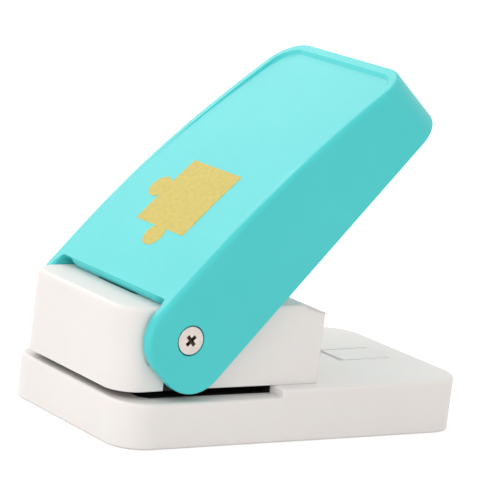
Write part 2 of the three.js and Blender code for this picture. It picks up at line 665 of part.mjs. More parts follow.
function headCover() {
  const half = HEAD_WIDTH / 2;
  const plan = roundedPlan(half, headFrontY, headRearY, HEAD_FRONT_CORNER, HEAD_REAR_CORNER);
  const innerHalf = half - HEAD_WALL;
  const innerFront = headFrontY + HEAD_WALL;
  const innerRear = headRearY - HEAD_WALL;
  const innerCorner = HEAD_FRONT_CORNER - HEAD_WALL;
  const innerPlan = roundedPlan(innerHalf, innerFront, innerRear, innerCorner, 0);
  const ceiling = headTop - HEAD_WALL;
  const room = prism(innerPlan, headBottom - OVERRUN, ceiling).subtract(aboveRearSlope(HEAD_WALL));
  let cover = roundedTopPrism(plan, headBottom, headTop, HEAD_EDGE_FILLET);
  cover = cover.subtract(aboveRearSlope(0)).subtract(room);
  const openHalf = HEAD_OPENING_WIDTH / 2;
  const openFront = pivotY - HEAD_OPENING_AHEAD;
  const openRear = pivotY + HEAD_OPENING_BEHIND;
  const openLow = ceiling - OVERRUN;
  cover = cover.subtract(block(-openHalf, openHalf, openFront, openRear, openLow, headTop + OVERRUN));
  const slotHalf = HUB_SLOT_WIDTH / 2;
  cover = cover.subtract(crosswiseRod(slotHalf, pivotY, pivotZ, -HEAD_WIDTH, HEAD_WIDTH));
  const slotFront = pivotY - slotHalf;
  const slotRear = pivotY + slotHalf;
  const slotLow = headBottom - OVERRUN;
  cover = cover.subtract(block(-HEAD_WIDTH, HEAD_WIDTH, slotFront, slotRear, slotLow, pivotZ));
  for (const side of [-1, 1]) {
    const x = side * HEAD_BOSS_SPACING / 2;
    const bossTop = headBottom + HEAD_BOSS_HEIGHT;
    const boss = uprightRod(HEAD_BOSS_RADIUS, x, headBossY, headBottom, bossTop);
    const web = HEAD_BOSS_RADIUS / 2;
    const tie = block(x - web, x + web, headBossY, innerRear + web, headBottom, bossTop);
    const end = deckUnderside + COVER_SCREW.length + SCREW_HOLE_GAP;
    const pilot = screwHole(COVER_SCREW, x, headBossY, headBottom - OVERRUN, end);
    cover = cover.add(boss).add(tie).subtract(pilot);
  }
  return cover;
}

// Lever, built in its own frame with the pivot at the origin

const arcCentreN = LEVER_TOP_RISE - LEVER_ARC_RADIUS;

function leverSide(inset, reach, front, bottom) {
  const radius = LEVER_ARC_RADIUS - inset;
  const endAngle = Math.acos((reach - LEVER_ARC_START) / radius);
  const outline = new THREE.Shape();
  outline.moveTo(front, bottom);
  outline.lineTo(reach, bottom);
  outline.absarc(LEVER_ARC_START, arcCentreN, radius, endAngle, QUARTER_TURN);
  outline.lineTo(front, LEVER_TOP_RISE - inset);
  return outline;
}

function leverOuter() {
  const roundRadius = (LEVER_TOP_RISE + LEVER_SKIRT_DROP) / 2;
  const roundCentreN = LEVER_TOP_RISE - roundRadius;
  const outline = leverSide(0, LEVER_REACH, 0, -LEVER_SKIRT_DROP);
  outline.absarc(0, roundCentreN, roundRadius, QUARTER_TURN, 3 * QUARTER_TURN);
  const depth = leverWidth - 2 * LEVER_EDGE_FILLET;
  const geometry = new THREE.ExtrudeGeometry(outline, {
    depth,
    bevelEnabled: true,
    bevelThickness: LEVER_EDGE_FILLET,
    bevelSize: LEVER_EDGE_FILLET,
    bevelOffset: -LEVER_EDGE_FILLET,
    bevelSegments: FILLET_STEPS,
    curveSegments: FINE_CURVE_STEPS,
  });
  geometry.translate(0, 0, -depth / 2);
  const half = leverWidth / 2;
  const plan = roundedPlan(half, -LEVER_REACH, LEVER_REACH, 0, LEVER_REAR_CORNER);
  return solid(turnedCrosswise(geometry)).intersect(prism(plan, -LEVER_REACH, LEVER_REACH));
}

function leverRoom() {
  const innerEnd = LEVER_REACH - LEVER_SIDE_WALL;
  const side = leverSide(LEVER_TOP_WALL, innerEnd, -LEVER_REACH, -LEVER_REACH);
  side.closePath();
  const corner = LEVER_REAR_CORNER - LEVER_SIDE_WALL;
  const plan = roundedPlan(leverInnerHalf, -LEVER_REACH, innerEnd, 0, corner);
  const fill = crosswisePrism(side, -leverWidth, leverWidth, FINE_CURVE_STEPS);
  const notchEnd = LEVER_PLATE_START;
  const notch = roundedPlan(leverInnerHalf, -LEVER_REACH, notchEnd, 0, LEVER_NOTCH_CORNER);
  return fill.intersect(prism(plan, -LEVER_REACH, LEVER_REACH)).add(prism(notch, 0, LEVER_REACH));
}

// The shallow panel in the lever's top, which deepens towards the free end.
function leverRecess() {
  const end = LEVER_REACH - LEVER_RECESS_END_RIM;
  const span = end - LEVER_ARC_START;
  const floorRadius = 1 / (1 / LEVER_ARC_RADIUS + 2 * LEVER_RECESS_DEPTH / (span * span));
  const floorCentreN = LEVER_TOP_RISE - floorRadius;
  const endAngle = Math.acos(span / floorRadius);
  const outline = new THREE.Shape();
  outline.moveTo(LEVER_ARC_START, LEVER_TOP_RISE + OVERRUN);
  outline.lineTo(LEVER_ARC_START, LEVER_TOP_RISE);
  outline.absarc(LEVER_ARC_START, floorCentreN, floorRadius, QUARTER_TURN, endAngle, true);
  outline.lineTo(end, LEVER_TOP_RISE + OVERRUN);
  outline.closePath();
  const half = leverWidth / 2 - LEVER_RECESS_RIM;
  const plan = roundedPlan(half, LEVER_RECESS_START, end, 0, LEVER_RECESS_CORNER);
  const panel = crosswisePrism(outline, -leverWidth, leverWidth, FINE_CURVE_STEPS);
  return panel.intersect(prism(plan, -LEVER_REACH, LEVER_REACH));
}

// The roller's place in the lever's frame
const rollerAngle = rollerArmAngle - LEVER_RAISED_ANGLE;
const rollerU = rollerArmLength * Math.cos(rollerAngle);
const rollerN = rollerArmLength * Math.sin(rollerAngle);

function pressArm(side) {
  const innerX = ROLLER_LENGTH / 2 + ROLLER_SIDE_GAP;
  const low = Math.min(side * innerX, side * (innerX + ARM_THICKNESS));
  const high = low + ARM_THICKNESS;
  const top = LEVER_TOP_RISE - LEVER_TOP_WALL / 2;
  const points = [
    [rollerU - ARM_EYE_RADIUS, rollerN],
    [rollerU + ARM_EYE_RADIUS, rollerN],
    [ARM_ROOT_END, top],
    [ARM_ROOT_START, top],
  ];
  const web = crosswisePrism(sideOutline(points), low, high);
  const eye = crosswiseRod(ARM_EYE_RADIUS, rollerU, rollerN, low, high);
  const hole = ROLLER_PIN_RADIUS + RUNNING_GAP;
  const bore = crosswiseRod(hole, rollerU, rollerN, low - OVERRUN, high + OVERRUN, SMALL_ROUND_SIDES);
  return web.add(eye).subtract(bore);
}

// The flat under the plate's front edge, which rests on the head when the lever is up.
function belowRaisedStop() {
  const span = leverWidth;
  const stop = headTop + PIECE_GAP - pivotZ;
  const under = block(-leverInnerHalf, leverInnerHalf, -span, span, -span, stop);
  const turn = THREE.MathUtils.radToDeg(LEVER_RAISED_ANGLE);
  const low = LEVER_TOP_RISE / 2;
  const plateOnly = block(-span, span, -LEVER_PLATE_START, LEVER_ARC_START, low, LEVER_REACH);
  return under.rotate([-turn, 0, 0]).intersect(plateOnly);
}

function leverShell() {
  let shell = leverOuter().subtract(leverRoom()).subtract(leverRecess()).subtract(belowRaisedStop());
  shell = shell.add(pressArm(-1)).add(pressArm(1));
  const ribEnd = LEVER_REACH - LEVER_SIDE_WALL / 2;
  const ribSide = leverSide(LEVER_TOP_WALL / 2, ribEnd, 0, -LEVER_SKIRT_DROP);
  ribSide.closePath();
  const ribLow = leverSide(LEVER_TOP_WALL + LEVER_RIB_DEPTH, ribEnd + OVERRUN, -OVERRUN, -LEVER_REACH);
  ribLow.closePath();
  const ribSpan = (LEVER_RIB_COUNT - 1) * LEVER_RIB_SPACING;
  for (let i = 0; i < LEVER_RIB_COUNT; i += 1) {
    const x = i * LEVER_RIB_SPACING - ribSpan / 2;
    const low = x - LEVER_RIB_THICKNESS / 2;
    const high = x + LEVER_RIB_THICKNESS / 2;
    const below = crosswisePrism(ribLow, low - OVERRUN, high + OVERRUN);
    const rib = crosswisePrism(ribSide, low, high).subtract(below);
    const behindStart = block(low, high, LEVER_RIB_START, LEVER_REACH, -LEVER_REACH, LEVER_REACH);
    shell = shell.add(rib.intersect(behindStart));
  }
  const half = leverWidth / 2;
  const seat = half - PIVOT_HEAD_THICKNESS - RUNNING_GAP;
  for (const side of [-1, 1]) {
    const bore = [side * (leverInnerHalf - OVERRUN), side * (half + OVERRUN)].sort((a, b) => a - b);
    const recess = [side * seat, side * (half + OVERRUN)].sort((a, b) => a - b);
    shell = shell.subtract(crosswiseRod(PIVOT_SHOULDER_RADIUS + RUNNING_GAP, 0, 0, bore[0], bore[1]));
    shell = shell.subtract(crosswiseRod(PIVOT_HEAD_RADIUS + PIVOT_HEAD_RING, 0, 0, recess[0], recess[1]));
  }
  return shell;
}

function pressRoller() {
  const half = ROLLER_LENGTH / 2;
  const outer = crosswiseRod(ROLLER_RADIUS, rollerU, rollerN, -half, half, ROUND_SIDES);
  const boreHalf = half + OVERRUN;
  const bore = crosswiseRod(ROLLER_BORE_RADIUS, rollerU, rollerN, -boreHalf, boreHalf, SMALL_ROUND_SIDES);
  return outer.subtract(bore);
}

function rollerPin() {
  const half = ROLLER_LENGTH / 2 + ROLLER_SIDE_GAP + ARM_THICKNESS;
  return crosswiseRod(ROLLER_PIN_RADIUS, rollerU, rollerN, -half, half, SMALL_ROUND_SIDES);
}

// Plunger and cutter

const cutterScrewReach = MOTIF_SIDE / 2 - CUTTER_SCREW_INSET;
const cutterScrewPlaces = [-1, 1].map((side) => [0, motifCentreY + side * cutterScrewReach]);

function plunger() {
  const front = motifCentreY - PLUNGER_LENGTH / 2;
  const rear = motifCentreY + PLUNGER_LENGTH / 2;
  const plan = roundedPlan(earInnerX - PLUNGER_EAR_GAP, front, rear, PLUNGER_CORNER, PLUNGER_CORNER);
  const wingHalf = guideWidth / 2 - PLUNGER_WING_GAP;
  const wingFront = springY - PLUNGER_WING_LENGTH / 2;
  const wingRear = springY + PLUNGER_WING_LENGTH / 2;
  const padHalf = ROLLER_LENGTH / 2;
  const padFront = rollerY - PLUNGER_PAD_LENGTH / 2;
  const padRear = rollerY + PLUNGER_PAD_LENGTH / 2;
  let body = prism(plan, plungerBottom, plungerTop);
  body = body.add(block(-wingHalf, wingHalf, wingFront, wingRear, plungerBottom, plungerTop));
  body = body.add(block(-padHalf, padHalf, padFront, padRear, plungerBottom, padTop));
  for (const side of [-1, 1]) {
    const x = side * springX;
    const pocketTop = plungerBottom + PLUNGER_WING_POCKET;
    const pocket = uprightRod(SPRING_POCKET_RADIUS, x, springY, plungerBottom - OVERRUN, pocketTop);
    body = body.subtract(pocket);
  }
  for (const [x, y] of cutterScrewPlaces) {
    body = body.subtract(screwHole(CUTTER_SCREW, x, y, plungerBottom - OVERRUN, plungerTop + OVERRUN));
  }
  return body;
}

function cutter() {
  let body = motifPrism(0, cutterBottom, cutterTop - PIECE_GAP);
  for (const [x, y] of cutterScrewPlaces) {
    const end = plungerTop - CUTTER_SCREW.length - SCREW_HOLE_GAP;
    body = body.subtract(screwHole(CUTTER_SCREW, x, y, end, cutterTop + OVERRUN));
  }
  return body;
}

function cutterScrew([x, y]) {
  const hung = uprightScrew(CUTTER_SCREW, x, -y, 0).rotate([180, 0, 0]);
  return hung.translate([0, 0, plungerTop + SCREW_HOLE_GAP + CUTTER_SCREW.headHeight]);
}

// Return springs: one wire each, wound upwards, with upright ends

function springPath() {
  const low = springBottom + SPRING_WIRE;
  const high = springTop - SPRING_WIRE;
  const steps = SPRING_TURNS * SPRING_STEPS_PER_TURN;
  const up = new THREE.Vector3(0, 0, 1);
  const stations = [{ turn: 0, z: springBottom, along: up }];
  for (let i = 0; i <= steps; i += 1) {
    const turn = (i / SPRING_STEPS_PER_TURN) * 2 * Math.PI;
    const z = low + (high - low) * (i / steps);
    const along = new THREE.Vector3(-Math.sin(turn), Math.cos(turn), 0);
    along.multiplyScalar(2 * Math.PI * SPRING_RADIUS * SPRING_TURNS);
    along.addScaledVector(up, high - low).normalize();
    if (i === 0 || i === steps) along.add(up).normalize();
    stations.push({ turn, z, along });
  }
  stations.push({ turn: SPRING_TURNS * 2 * Math.PI, z: springTop, along: up });
  return stations;
}

function springRings() {
  return springPath().map(({ turn, z, along }) => {
    const outward = new THREE.Vector3(Math.cos(turn), Math.sin(turn), 0);
    const across = new THREE.Vector3().crossVectors(along, outward);
    const centre = outward.clone().multiplyScalar(SPRING_RADIUS).setZ(z);
    return Array.from({ length: SPRING_WIRE_SIDES }, (_, k) => {
      const angle = (k / SPRING_WIRE_SIDES) * 2 * Math.PI;
      const point = centre.clone().addScaledVector(outward, (SPRING_WIRE / 2) * Math.cos(angle));
      return point.addScaledVector(across, (SPRING_WIRE / 2) * Math.sin(angle));
    });
  });
}

function leastSpringGap(rings) {
  let least = Infinity;
  rings.forEach((ring, i) => {
    for (const other of rings.slice(i + SPRING_STEPS_PER_TURN - 2)) {
      for (const point of ring) {
        for (const facing of other) least = Math.min(least, point.distanceTo(facing));
      }
    }
  });
  return least;
}

function returnSpring(name, side) {
  const rings = springRings();
  const points = rings.flat();
  const index = [];
  for (let i = 0; i < rings.length - 1; i += 1) {
    for (let k = 0; k < SPRING_WIRE_SIDES; k += 1) {
      const a = i * SPRING_WIRE_SIDES + k;
      const b = i * SPRING_WIRE_SIDES + ((k + 1) % SPRING_WIRE_SIDES);
      index.push(a, b, b + SPRING_WIRE_SIDES, a, b + SPRING_WIRE_SIDES, a + SPRING_WIRE_SIDES);
    }
  }
  const last = (rings.length - 1) * SPRING_WIRE_SIDES;
  for (let k = 1; k < SPRING_WIRE_SIDES - 1; k += 1) {
    index.push(0, k + 1, k);
    index.push(last, last + k, last + k + 1);
  }
  const wire = new THREE.BufferGeometry().setFromPoints(points);
  wire.setIndex(index);
  wire.translate(side * springX, springY, 0);
  return piece(name, solid(wire), steel);
}

console.log(`return spring, least gap to itself: ${leastSpringGap(springRings()).toFixed(2)} mm`);

// Pivot screws: head in the cheek, plain shoulder as the lever's bearing, thread in the hub

function pivotScrew(name, side) {
  const faceX = leverWidth / 2;
  const headUnder = faceX - PIVOT_HEAD_THICKNESS;
  const shoulderStart = leverInnerHalf;
  const tip = leverInnerHalf - PIVOT_THREAD_LENGTH;
  const profile = [
    new THREE.Vector2(0, tip),
    new THREE.Vector2(PIVOT_THREAD_RADIUS, tip),
    new THREE.Vector2(PIVOT_THREAD_RADIUS, shoulderStart),
    new THREE.Vector2(PIVOT_SHOULDER_RADIUS, shoulderStart),
    new THREE.Vector2(PIVOT_SHOULDER_RADIUS, headUnder),
    new THREE.Vector2(PIVOT_HEAD_RADIUS, headUnder),
    new THREE.Vector2(PIVOT_HEAD_RADIUS, faceX - PIVOT_HEAD_CHAMFER),
    new THREE.Vector2(PIVOT_HEAD_RADIUS - PIVOT_HEAD_CHAMFER, faceX),
    new THREE.Vector2(0, faceX),
  ];
  const body = new THREE.LatheGeometry(profile, ROUND_SIDES);
  body.rotateZ(-side * QUARTER_TURN);
  const half = PIVOT_CROSS_WIDTH / 2;
  const reach = PIVOT_CROSS_LENGTH / 2;
  const floorX = side * (faceX - PIVOT_CROSS_DEPTH);
  const outX = side * (faceX + OVERRUN);
  const low = Math.min(floorX, outX);
  const high = Math.max(floorX, outX);
  const along = block(low, high, -reach, reach, -half, half);
  const across = block(low, high, -half, half, -reach, reach);
  const cross = along.add(across).rotate([PIVOT_CROSS_TURN, 0, 0]);
  return piece(name, solid(body).subtract(cross).translate([0, pivotY, pivotZ]), steel);
}

// The whole punch

const craftPunch = new THREE.Group();

craftPunch.add(piece('base_shell', baseShell(), white));
craftPunch.add(piece('deck_latch', deckLatch(), white));
craftPunch.add(piece('bottom_cover', bottomCover(), white));
for (const place of footPlaces) craftPunch.add(foot(place));

craftPunch.add(piece('die_plate', diePlate(), black));
dieScrewPlaces.forEach(([x, y], i) => {
  craftPunch.add(piece(`die_screw_${i + 1}`, uprightScrew(DIE_SCREW, x, y, dieScrewHeadZ), steel));
});
craftPunch.add(piece('punch_frame', punchFrame(), black));
frameScrewPlaces.forEach((x, i) => {
  const headLow = deckUnderside - SCREW_HOLE_GAP - FRAME_SCREW.headHeight;
  craftPunch.add(piece(`frame_screw_${i + 1}`, uprightScrew(FRAME_SCREW, x, frameScrewY, headLow), steel));
});

craftPunch.add(piece('head_cover', headCover(), white));
for (const [word, side] of [['left', -1], ['right', 1]]) {
  const headLow = deckUnderside - SCREW_HOLE_GAP - COVER_SCREW.headHeight;
  const coverScrew = uprightScrew(COVER_SCREW, (side * HEAD_BOSS_SPACING) / 2, headBossY, headLow);
  craftPunch.add(piece(`cover_screw_${word}`, coverScrew, steel));
  craftPunch.add(pivotScrew(`pivot_screw_${word}`, side));
  craftPunch.add(returnSpring(`return_spring_${word}`, side));
}

craftPunch.add(piece('plunger', plunger(), steel));
craftPunch.add(piece('cutter', cutter(), steel));
cutterScrewPlaces.forEach((place, i) => {
  craftPunch.add(piece(`cutter_screw_${i + 1}`, cutterScrew(place), steel));
});

const lever = new THREE.Group();
lever.position.set(0, pivotY, pivotZ);
lever.rotation.x = LEVER_RAISED_ANGLE;
lever.add(piece('lever_shell', leverShell(), turquoise));
lever.add(piece('roller_pin', rollerPin(), steel));
lever.add(piece('press_roller', pressRoller(), steel));
craftPunch.add(lever);

export default craftPunch;
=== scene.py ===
"""Looks of the craft punch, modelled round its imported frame.

Sizes and places are written in millimetres, in the frame of the CAD: +Z up, -Y the front, +X the right.
The lever is modelled lying down in its own frame, X across and Y from the pivot to the free end, and then
raised.
"""
import math

import bmesh
import bpy
from mathutils import Matrix, Vector


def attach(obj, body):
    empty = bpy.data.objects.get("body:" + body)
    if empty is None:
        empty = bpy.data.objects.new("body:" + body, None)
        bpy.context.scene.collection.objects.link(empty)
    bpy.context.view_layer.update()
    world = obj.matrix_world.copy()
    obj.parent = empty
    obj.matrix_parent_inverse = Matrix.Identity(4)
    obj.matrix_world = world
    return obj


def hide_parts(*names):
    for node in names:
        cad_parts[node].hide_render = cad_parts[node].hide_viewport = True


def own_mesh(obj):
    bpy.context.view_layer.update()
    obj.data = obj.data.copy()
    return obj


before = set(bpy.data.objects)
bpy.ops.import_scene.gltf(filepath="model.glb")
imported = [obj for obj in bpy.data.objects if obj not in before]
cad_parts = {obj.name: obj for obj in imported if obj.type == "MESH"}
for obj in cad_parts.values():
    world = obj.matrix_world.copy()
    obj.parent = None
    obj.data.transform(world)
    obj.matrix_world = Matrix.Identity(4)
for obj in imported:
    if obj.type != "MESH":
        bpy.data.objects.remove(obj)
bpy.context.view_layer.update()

MM = 0.001
NEAR = 0.1  # places that are closer than this count as the same when edges are picked
BELOW = -5  # where tools start that cut upwards from under the punch
HOLLOW = 5  # a height inside the base's hollow, where tools start that cut its deck
ABOVE = 20  # where tools end that cut the base from above
FAR = 30  # how far tools reach past the lever
WELD = 0.002  # vertices that are closer than this become one
CUT_SNAP = 0.0001  # how exactly a cut keeps to its plane
QUARTER_TURN = math.radians(90)

# Camera, from edges measured in the photograph
CAMERA_AZIMUTH = math.radians(54.31)
CAMERA_ELEVATION = math.radians(10.986)
CAMERA_ROLL = math.radians(7.009)
CAMERA_DISTANCE = 712.75
CAMERA_TARGET = (-1.001, -0.926, 42.567)
CAMERA_LENS = 200.008
CAMERA_SENSOR = 36

# Lamps: name, place and size in metres, power in watts, colour
LAMPS = (
    ("key", (-0.15, -0.78, 0.60), (0.6, 0.5), 1.0, (1.0, 1.0, 1.0)),
    ("low", (0.40, -0.90, 0.13), (0.4, 0.18), 0.85, (1.0, 1.0, 1.0)),
    ("side", (-0.85, -0.06, 0.58), (1.0, 0.5), 2.6, (1.0, 1.0, 1.0)),
    ("right", (0.86, -0.38, 0.42), (0.34, 0.30), 0.5, (1.0, 0.985, 0.97)),
)
LAMP_AIM = (0, 0, 0.03)
WORLD_STRENGTH = 0.84
WORLD_COLOUR = (1.0, 0.975, 0.95)
TABLE_SIZE = 14
TABLE_COLOUR = (0.82, 0.815, 0.81)
TABLE_LIFT = 0.4

# Base; pairs of corners are front and rear
BASE_HALF = 28.5
BASE_FRONT = -52.5
BASE_REAR = 52.5
BASE_BOTTOM = 0.2
BASE_WALL = 2.2
BASE_CORNERS = (8.3, 9.3)
BASE_FILLET = 0.9
BASE_LOW_FILLET = 0.25
BASE_EDGE = 0.16
FLOOR_TOP = 11.5
DECK_TOP = 13.7
DECK_LOW = 11.8
DECK_RISE = 0.6
STOP_Y = -6.6

# Tongue in the deck, its slot, and the barbed leg under its tip
LATCH_ROOT = 44
LATCH_TIP = 29.2
LATCH_HALF = 4.9
LATCH_GAP = 0.04
LATCH_CORNER = 0.5
LATCH_EDGE = 0.2
ROOT_SLANT = 0.3
SLOT_HALF = 5.5
SLOT_FRONT = 27.7
SLOT_CORNERS = (0.5, 0.3)
LEG_HALF = 3.5
LEG_REAR = 30.8
LEG_LENGTH = 2.3
BARB_LENGTH = 1.3
BARB_REACH = 0.7

# Bottom cover, with its lugs in front and its catch for the barb
COVER_BOTTOM = 0.6
COVER_TOP = 4.6
COVER_GAP = 0.3
COVER_RIM = 1.2
COVER_HOLLOW = 2.4
COVER_EDGE = 0.25
LUG_PLACES = (-15, 15)
LUG_HALF = 3
LUG_FRONT = -51.5
LUG_REAR = -49.2
LUG_POCKET_REAR = -50
LUG_LOW = 3.1
LUG_TOP = 4.2
CATCH_FRONT = 26.4
CATCH_REAR = 28.2
CATCH_LOW = 1.5
CATCH_TOP = 11.5
HOOK_LOW = 9.8
HOOK_REACH = 0.65

# Feet
FOOT_X = 20
FOOT_Y = 43
FOOT_RADIUS = 4
FOOT_TOP = 0.9
FOOT_RIMS = (1.1, 0.4)
FOOT_DISH = 0.25
FOOT_EDGE = 0.12
SEAT_GAP = 0.3
SEAT_LOW = -3
SEAT_TOP = 1.2

# Die plate, and the black paper stop behind it
DIE_HALF = 22.6
DIE_FRONT = -44.4
DIE_REAR = -6.9
DIE_LOW = 8.6
DIE_CORNER = 2
DIE_GAP = 0.15
DIE_EDGE = 0.08
DIE_SCREWS_X = (-18.4, 18.4)
DIE_SCREWS_Y = (-41.7, -11.5)
DIE_SCREW_HOLE = 1.1
DIE_SCREW_TOP = 10.7
STOP_OVERLAP = 0.1
STOP_GAP = 0.03
STOP_TOP = 13.65
STOP_EDGE = 0.06

# Jigsaw figures: their middles; their squares' sides, knob radii, knob distances and front knob shifts
DIE_FIGURE_PLACE = (0, -27.8)
DIE_FIGURE = (21.2, 3.5, 2.1, 0)
FOIL_PLACE = (0.6, 30.6)
FOIL_FIGURE = (21.5, 3.4, 2.5, 0.6)
FOIL_NECK = 0.35
FOIL_SHEET_HALF = 20
FOIL_SHEET_START = 10
FOIL_SHEET_END = 44
FOIL_SUNK = 0.02
FOIL_PROUD = 0.05

# Head
HEAD_HALF = 24.1
HEAD_REAR = 7.3
HEAD_BOTTOM = 13.75
HEAD_TOP = 34.2
HEAD_UPPER = 30
HEAD_WALL = 1.8
HEAD_ROOM_DROP = 20
HEAD_CORNERS = (7.0, 1.2)
HEAD_FILLET = 1.1
HEAD_REAR_FILLET = 0.5
HEAD_FILLET_FADE = (-4, 6)
HEAD_DRAFT = 0.12
HEAD_DIP = 0.35
HEAD_EDGE = 0.22
DIP_START = -30
SLOPE_Y = 0.9
SLOPE_DROP = 2.3
SLOPE_ROUND = 0.8
OPENING_HALF = 9.5
OPENING_FRONT = -41
OPENING_REAR = -18.5
OPENING_TOP = 40
OPENING_CORNER = 1.2
HUB_SLOT_RADIUS = 4.1
HUB_SLOT_INNER = 20
HUB_SLOT_OUTER = 27
HUB_SLOT_DROP = 20
BOSS_PLACES = (-13, 13)
BOSS_Y = 3.4
BOSS_RADIUS = 2.1
BOSS_TOP = 23.1
BOSS_HOLE = 1.2
BOSS_HOLE_LOW = 10
BOSS_HOLE_TOP = 18.9
TIE_HALF = 1.05
TIE_REAR = 6.4

# Lever, in its own frame
PIVOT = (0, -35.7, 27.0)
RAISED = math.radians(47.4)
LEVER_HALF = 27.8
LEVER_INNER = 24.5
LEVER_END = 88.3
LEVER_TOP = 11.5
LEVER_LOW = -13.6
LEVER_FRONT = -11.35
LEVER_ROUNDS = (10.0, 9.5)  # the upper and the lower radius of its front end
LEVER_ARC_START = 8.5
LEVER_ARC = 352
LEVER_CORNER = 9
LEVER_SIDE_WALL = 3.3
LEVER_TOP_WALL = 2.8
SIDE_FILLET = 1.4
REAR_FILLET = 0.35
LOW_FILLET = 0.5
LOW_FADE = 9.6
FRONT_FILLET = 0.65
FRONT_FADE = (-3, 11)
LEVER_EDGE = 0.15
LEVER_LEAN = 1.45
LEAN_START = 30
LEAN_END = 85
LEAN_LOW = -5
BEND_START = 12
BEND_STEP = 4

# Panel in the lever's top: its front line, and each rim's width and how far its rear is pulled forwards
PANEL_START = 20
PANEL_REAR = 60
PANEL_RIMS = ((2.4, 0), (0.32, 0.8))
PANEL_MARK = 0.3  # how far the panel is lifted at first, to tell it from the rest of the top
PANEL_FLOOR_ARC = 324

# Front edge of the lever's plate
PLATE_START = 2.1
LIP_HALF = 22.6
LIP_CORNER = 3.7
LIP_ROUND = 1.4
LIP_END = 12
LIP_LOW = -5
LIP_PROUD = 0.02
LIP_RELIEF = 2.7
RELIEF_CORNER = 1
RELIEF_FRONT = -20
RELIEF_REAR = 6
RELIEF_LOW = 1
RELIEF_TOP = 10.2
REST_FRONT = -0.8
REST_LOW = 5.75
REST_GAP = 0.3
CHEEK_ROUND = 0.8

# Press arms and ribs under the lever's plate, roller and pin
ROLLER = (7.11, -3.30)
ROLLER_RADIUS = 3
ROLLER_HALF = 5.2
ROLLER_EDGE = 0.3
PIN_RADIUS = 1
PIN_HALF = 7.85
PIN_EDGE = 0.2
PIN_BORE = 1.1
PIN_BORE_HALF = 8
ARM_INNER = 5.45
ARM_OUTER = 7.85
ARM_ROUND = 2.5
ARM_TOP = 10.1
ARM_SPREAD = (4.39, -1.61)
RIB_PLACES = (-12, 0, 12)
RIB_HALF = 0.8
RIB_START = 50
RIB_END = 86.6
RIB_DEPTH = 4

# Pivot screws, and their holes in the cheeks
SCREW_SEAT = 3.88
SCREW_SEAT_INNER = 26.4
SCREW_BORE = 2.4
SCREW_BORE_INNER = 23
SCREW_HEAD = 3.55
SCREW_HEAD_LENGTH = 1.3
SCREW_HEAD_ROUND = 0.22
SCREW_EDGE = 0.07
SCREW_STEPS = ((1.2, 2), (0.7, 4.6))  # how much narrower and how long the shoulder and the thread are
CROSS_DEPTH = 1.0
CROSS_PROUD = 0.25
CROSS_TURN = math.radians(43)
CROSS_WIDTH = 1.0
CROSS_SPAN = 3.5
CROSS_TAPER = (1, 0.55, 0.7)

# Return springs
SPRING_X = 17.2
SPRING_Y = -21.5
SPRING_LOW = 14.7
SPRING_HIGH = 24.8
SPRING_RADIUS = 2.4
SPRING_WIRE = 0.3
SPRING_TURNS = 5


# ---------- modelling tools ----------

def hold(piece):
    """Leaves one object selected and active."""
    bpy.ops.object.select_all(action="DESELECT")
    piece.select_set(True)
    bpy.context.view_layer.objects.active = piece


def open_mesh(piece):
    """Opens a piece in edit mode with nothing selected."""
    hold(piece)
    bpy.ops.object.mode_set(mode="EDIT")
    bpy.ops.mesh.select_all(action="DESELECT")


def close_mesh():
    bpy.ops.object.mode_set(mode="OBJECT")


def middle(part):
    """The middle of a vertex, edge or face, in millimetres."""
    if isinstance(part, bmesh.types.BMVert):
        return part.co / MM
    if isinstance(part, bmesh.types.BMEdge):
        return (part.verts[0].co + part.verts[1].co) / 2 / MM
    return part.calc_center_median() / MM


def run_of(edge):
    """The direction in which an edge runs."""
    return (edge.verts[1].co - edge.verts[0].co).normalized()


def turn_of(edge):
    """The angle between an edge's two faces, in degrees."""
    return math.degrees(edge.calc_face_angle(0))


def along(edge, axis):
    """Whether an edge runs along an axis."""
    return abs(run_of(edge)["XYZ".index(axis)]) > 0.9


def level(edge):
    return abs(run_of(edge).z) < 0.1


def sharp(edge):
    """Whether an edge is an outer corner that no round has taken yet."""
    return edge.is_convex and turn_of(edge) > 60


def faces(face, axis, sign=1):
    """Whether a face looks along an axis, or against it when the sign is -1."""
    return sign * face.normal["XYZ".index(axis)] > 0.9


def parts_of(shape, kind):
    """The vertices, edges or faces of a mesh that is open."""
    parts = {"VERT": shape.verts, "EDGE": shape.edges, "FACE": shape.faces}[kind]
    parts.ensure_lookup_table()
    return parts


def select(piece, kind, marks):
    """Selects the vertices, edges or faces with these numbers, and nothing else."""
    bpy.ops.mesh.select_mode(type=kind)
    bpy.ops.mesh.select_all(action="DESELECT")
    shape = bmesh.from_edit_mesh(piece.data)
    parts = parts_of(shape, kind)
    for mark in marks:
        parts[mark].select_set(True)
    bmesh.update_edit_mesh(piece.data)


def pick(piece, kind, wanted):
    """Selects the vertices, edges or faces that pass a test."""
    shape = bmesh.from_edit_mesh(piece.data)
    marks = [part.index for part in parts_of(shape, kind) if wanted(part)]
    if not marks:
        raise ValueError(f"{piece.name}: no {kind} passes the test")
    select(piece, kind, marks)


def grouped(piece, kind, wanted, amount_of, digits):
    """The numbers of the parts that pass a test, gathered by the amount that holds at their places."""
    shape = bmesh.from_edit_mesh(piece.data)
    groups = {}
    for part in parts_of(shape, kind):
        if wanted(part):
            groups.setdefault(round(amount_of(middle(part)), digits), []).append(part.index)
    return groups


def extrude(x=0, y=0, z=0):
    """Draws the selected faces out."""
    bpy.ops.mesh.extrude_region_move(TRANSFORM_OT_translate={"value": (x * MM, y * MM, z * MM)})


def shift(x=0, y=0, z=0):
    """Moves what is selected."""
    bpy.ops.transform.translate(value=(x * MM, y * MM, z * MM))


def inset(width):
    """Sets the selected faces in by a width."""
    bpy.ops.mesh.inset(thickness=width * MM, depth=0)


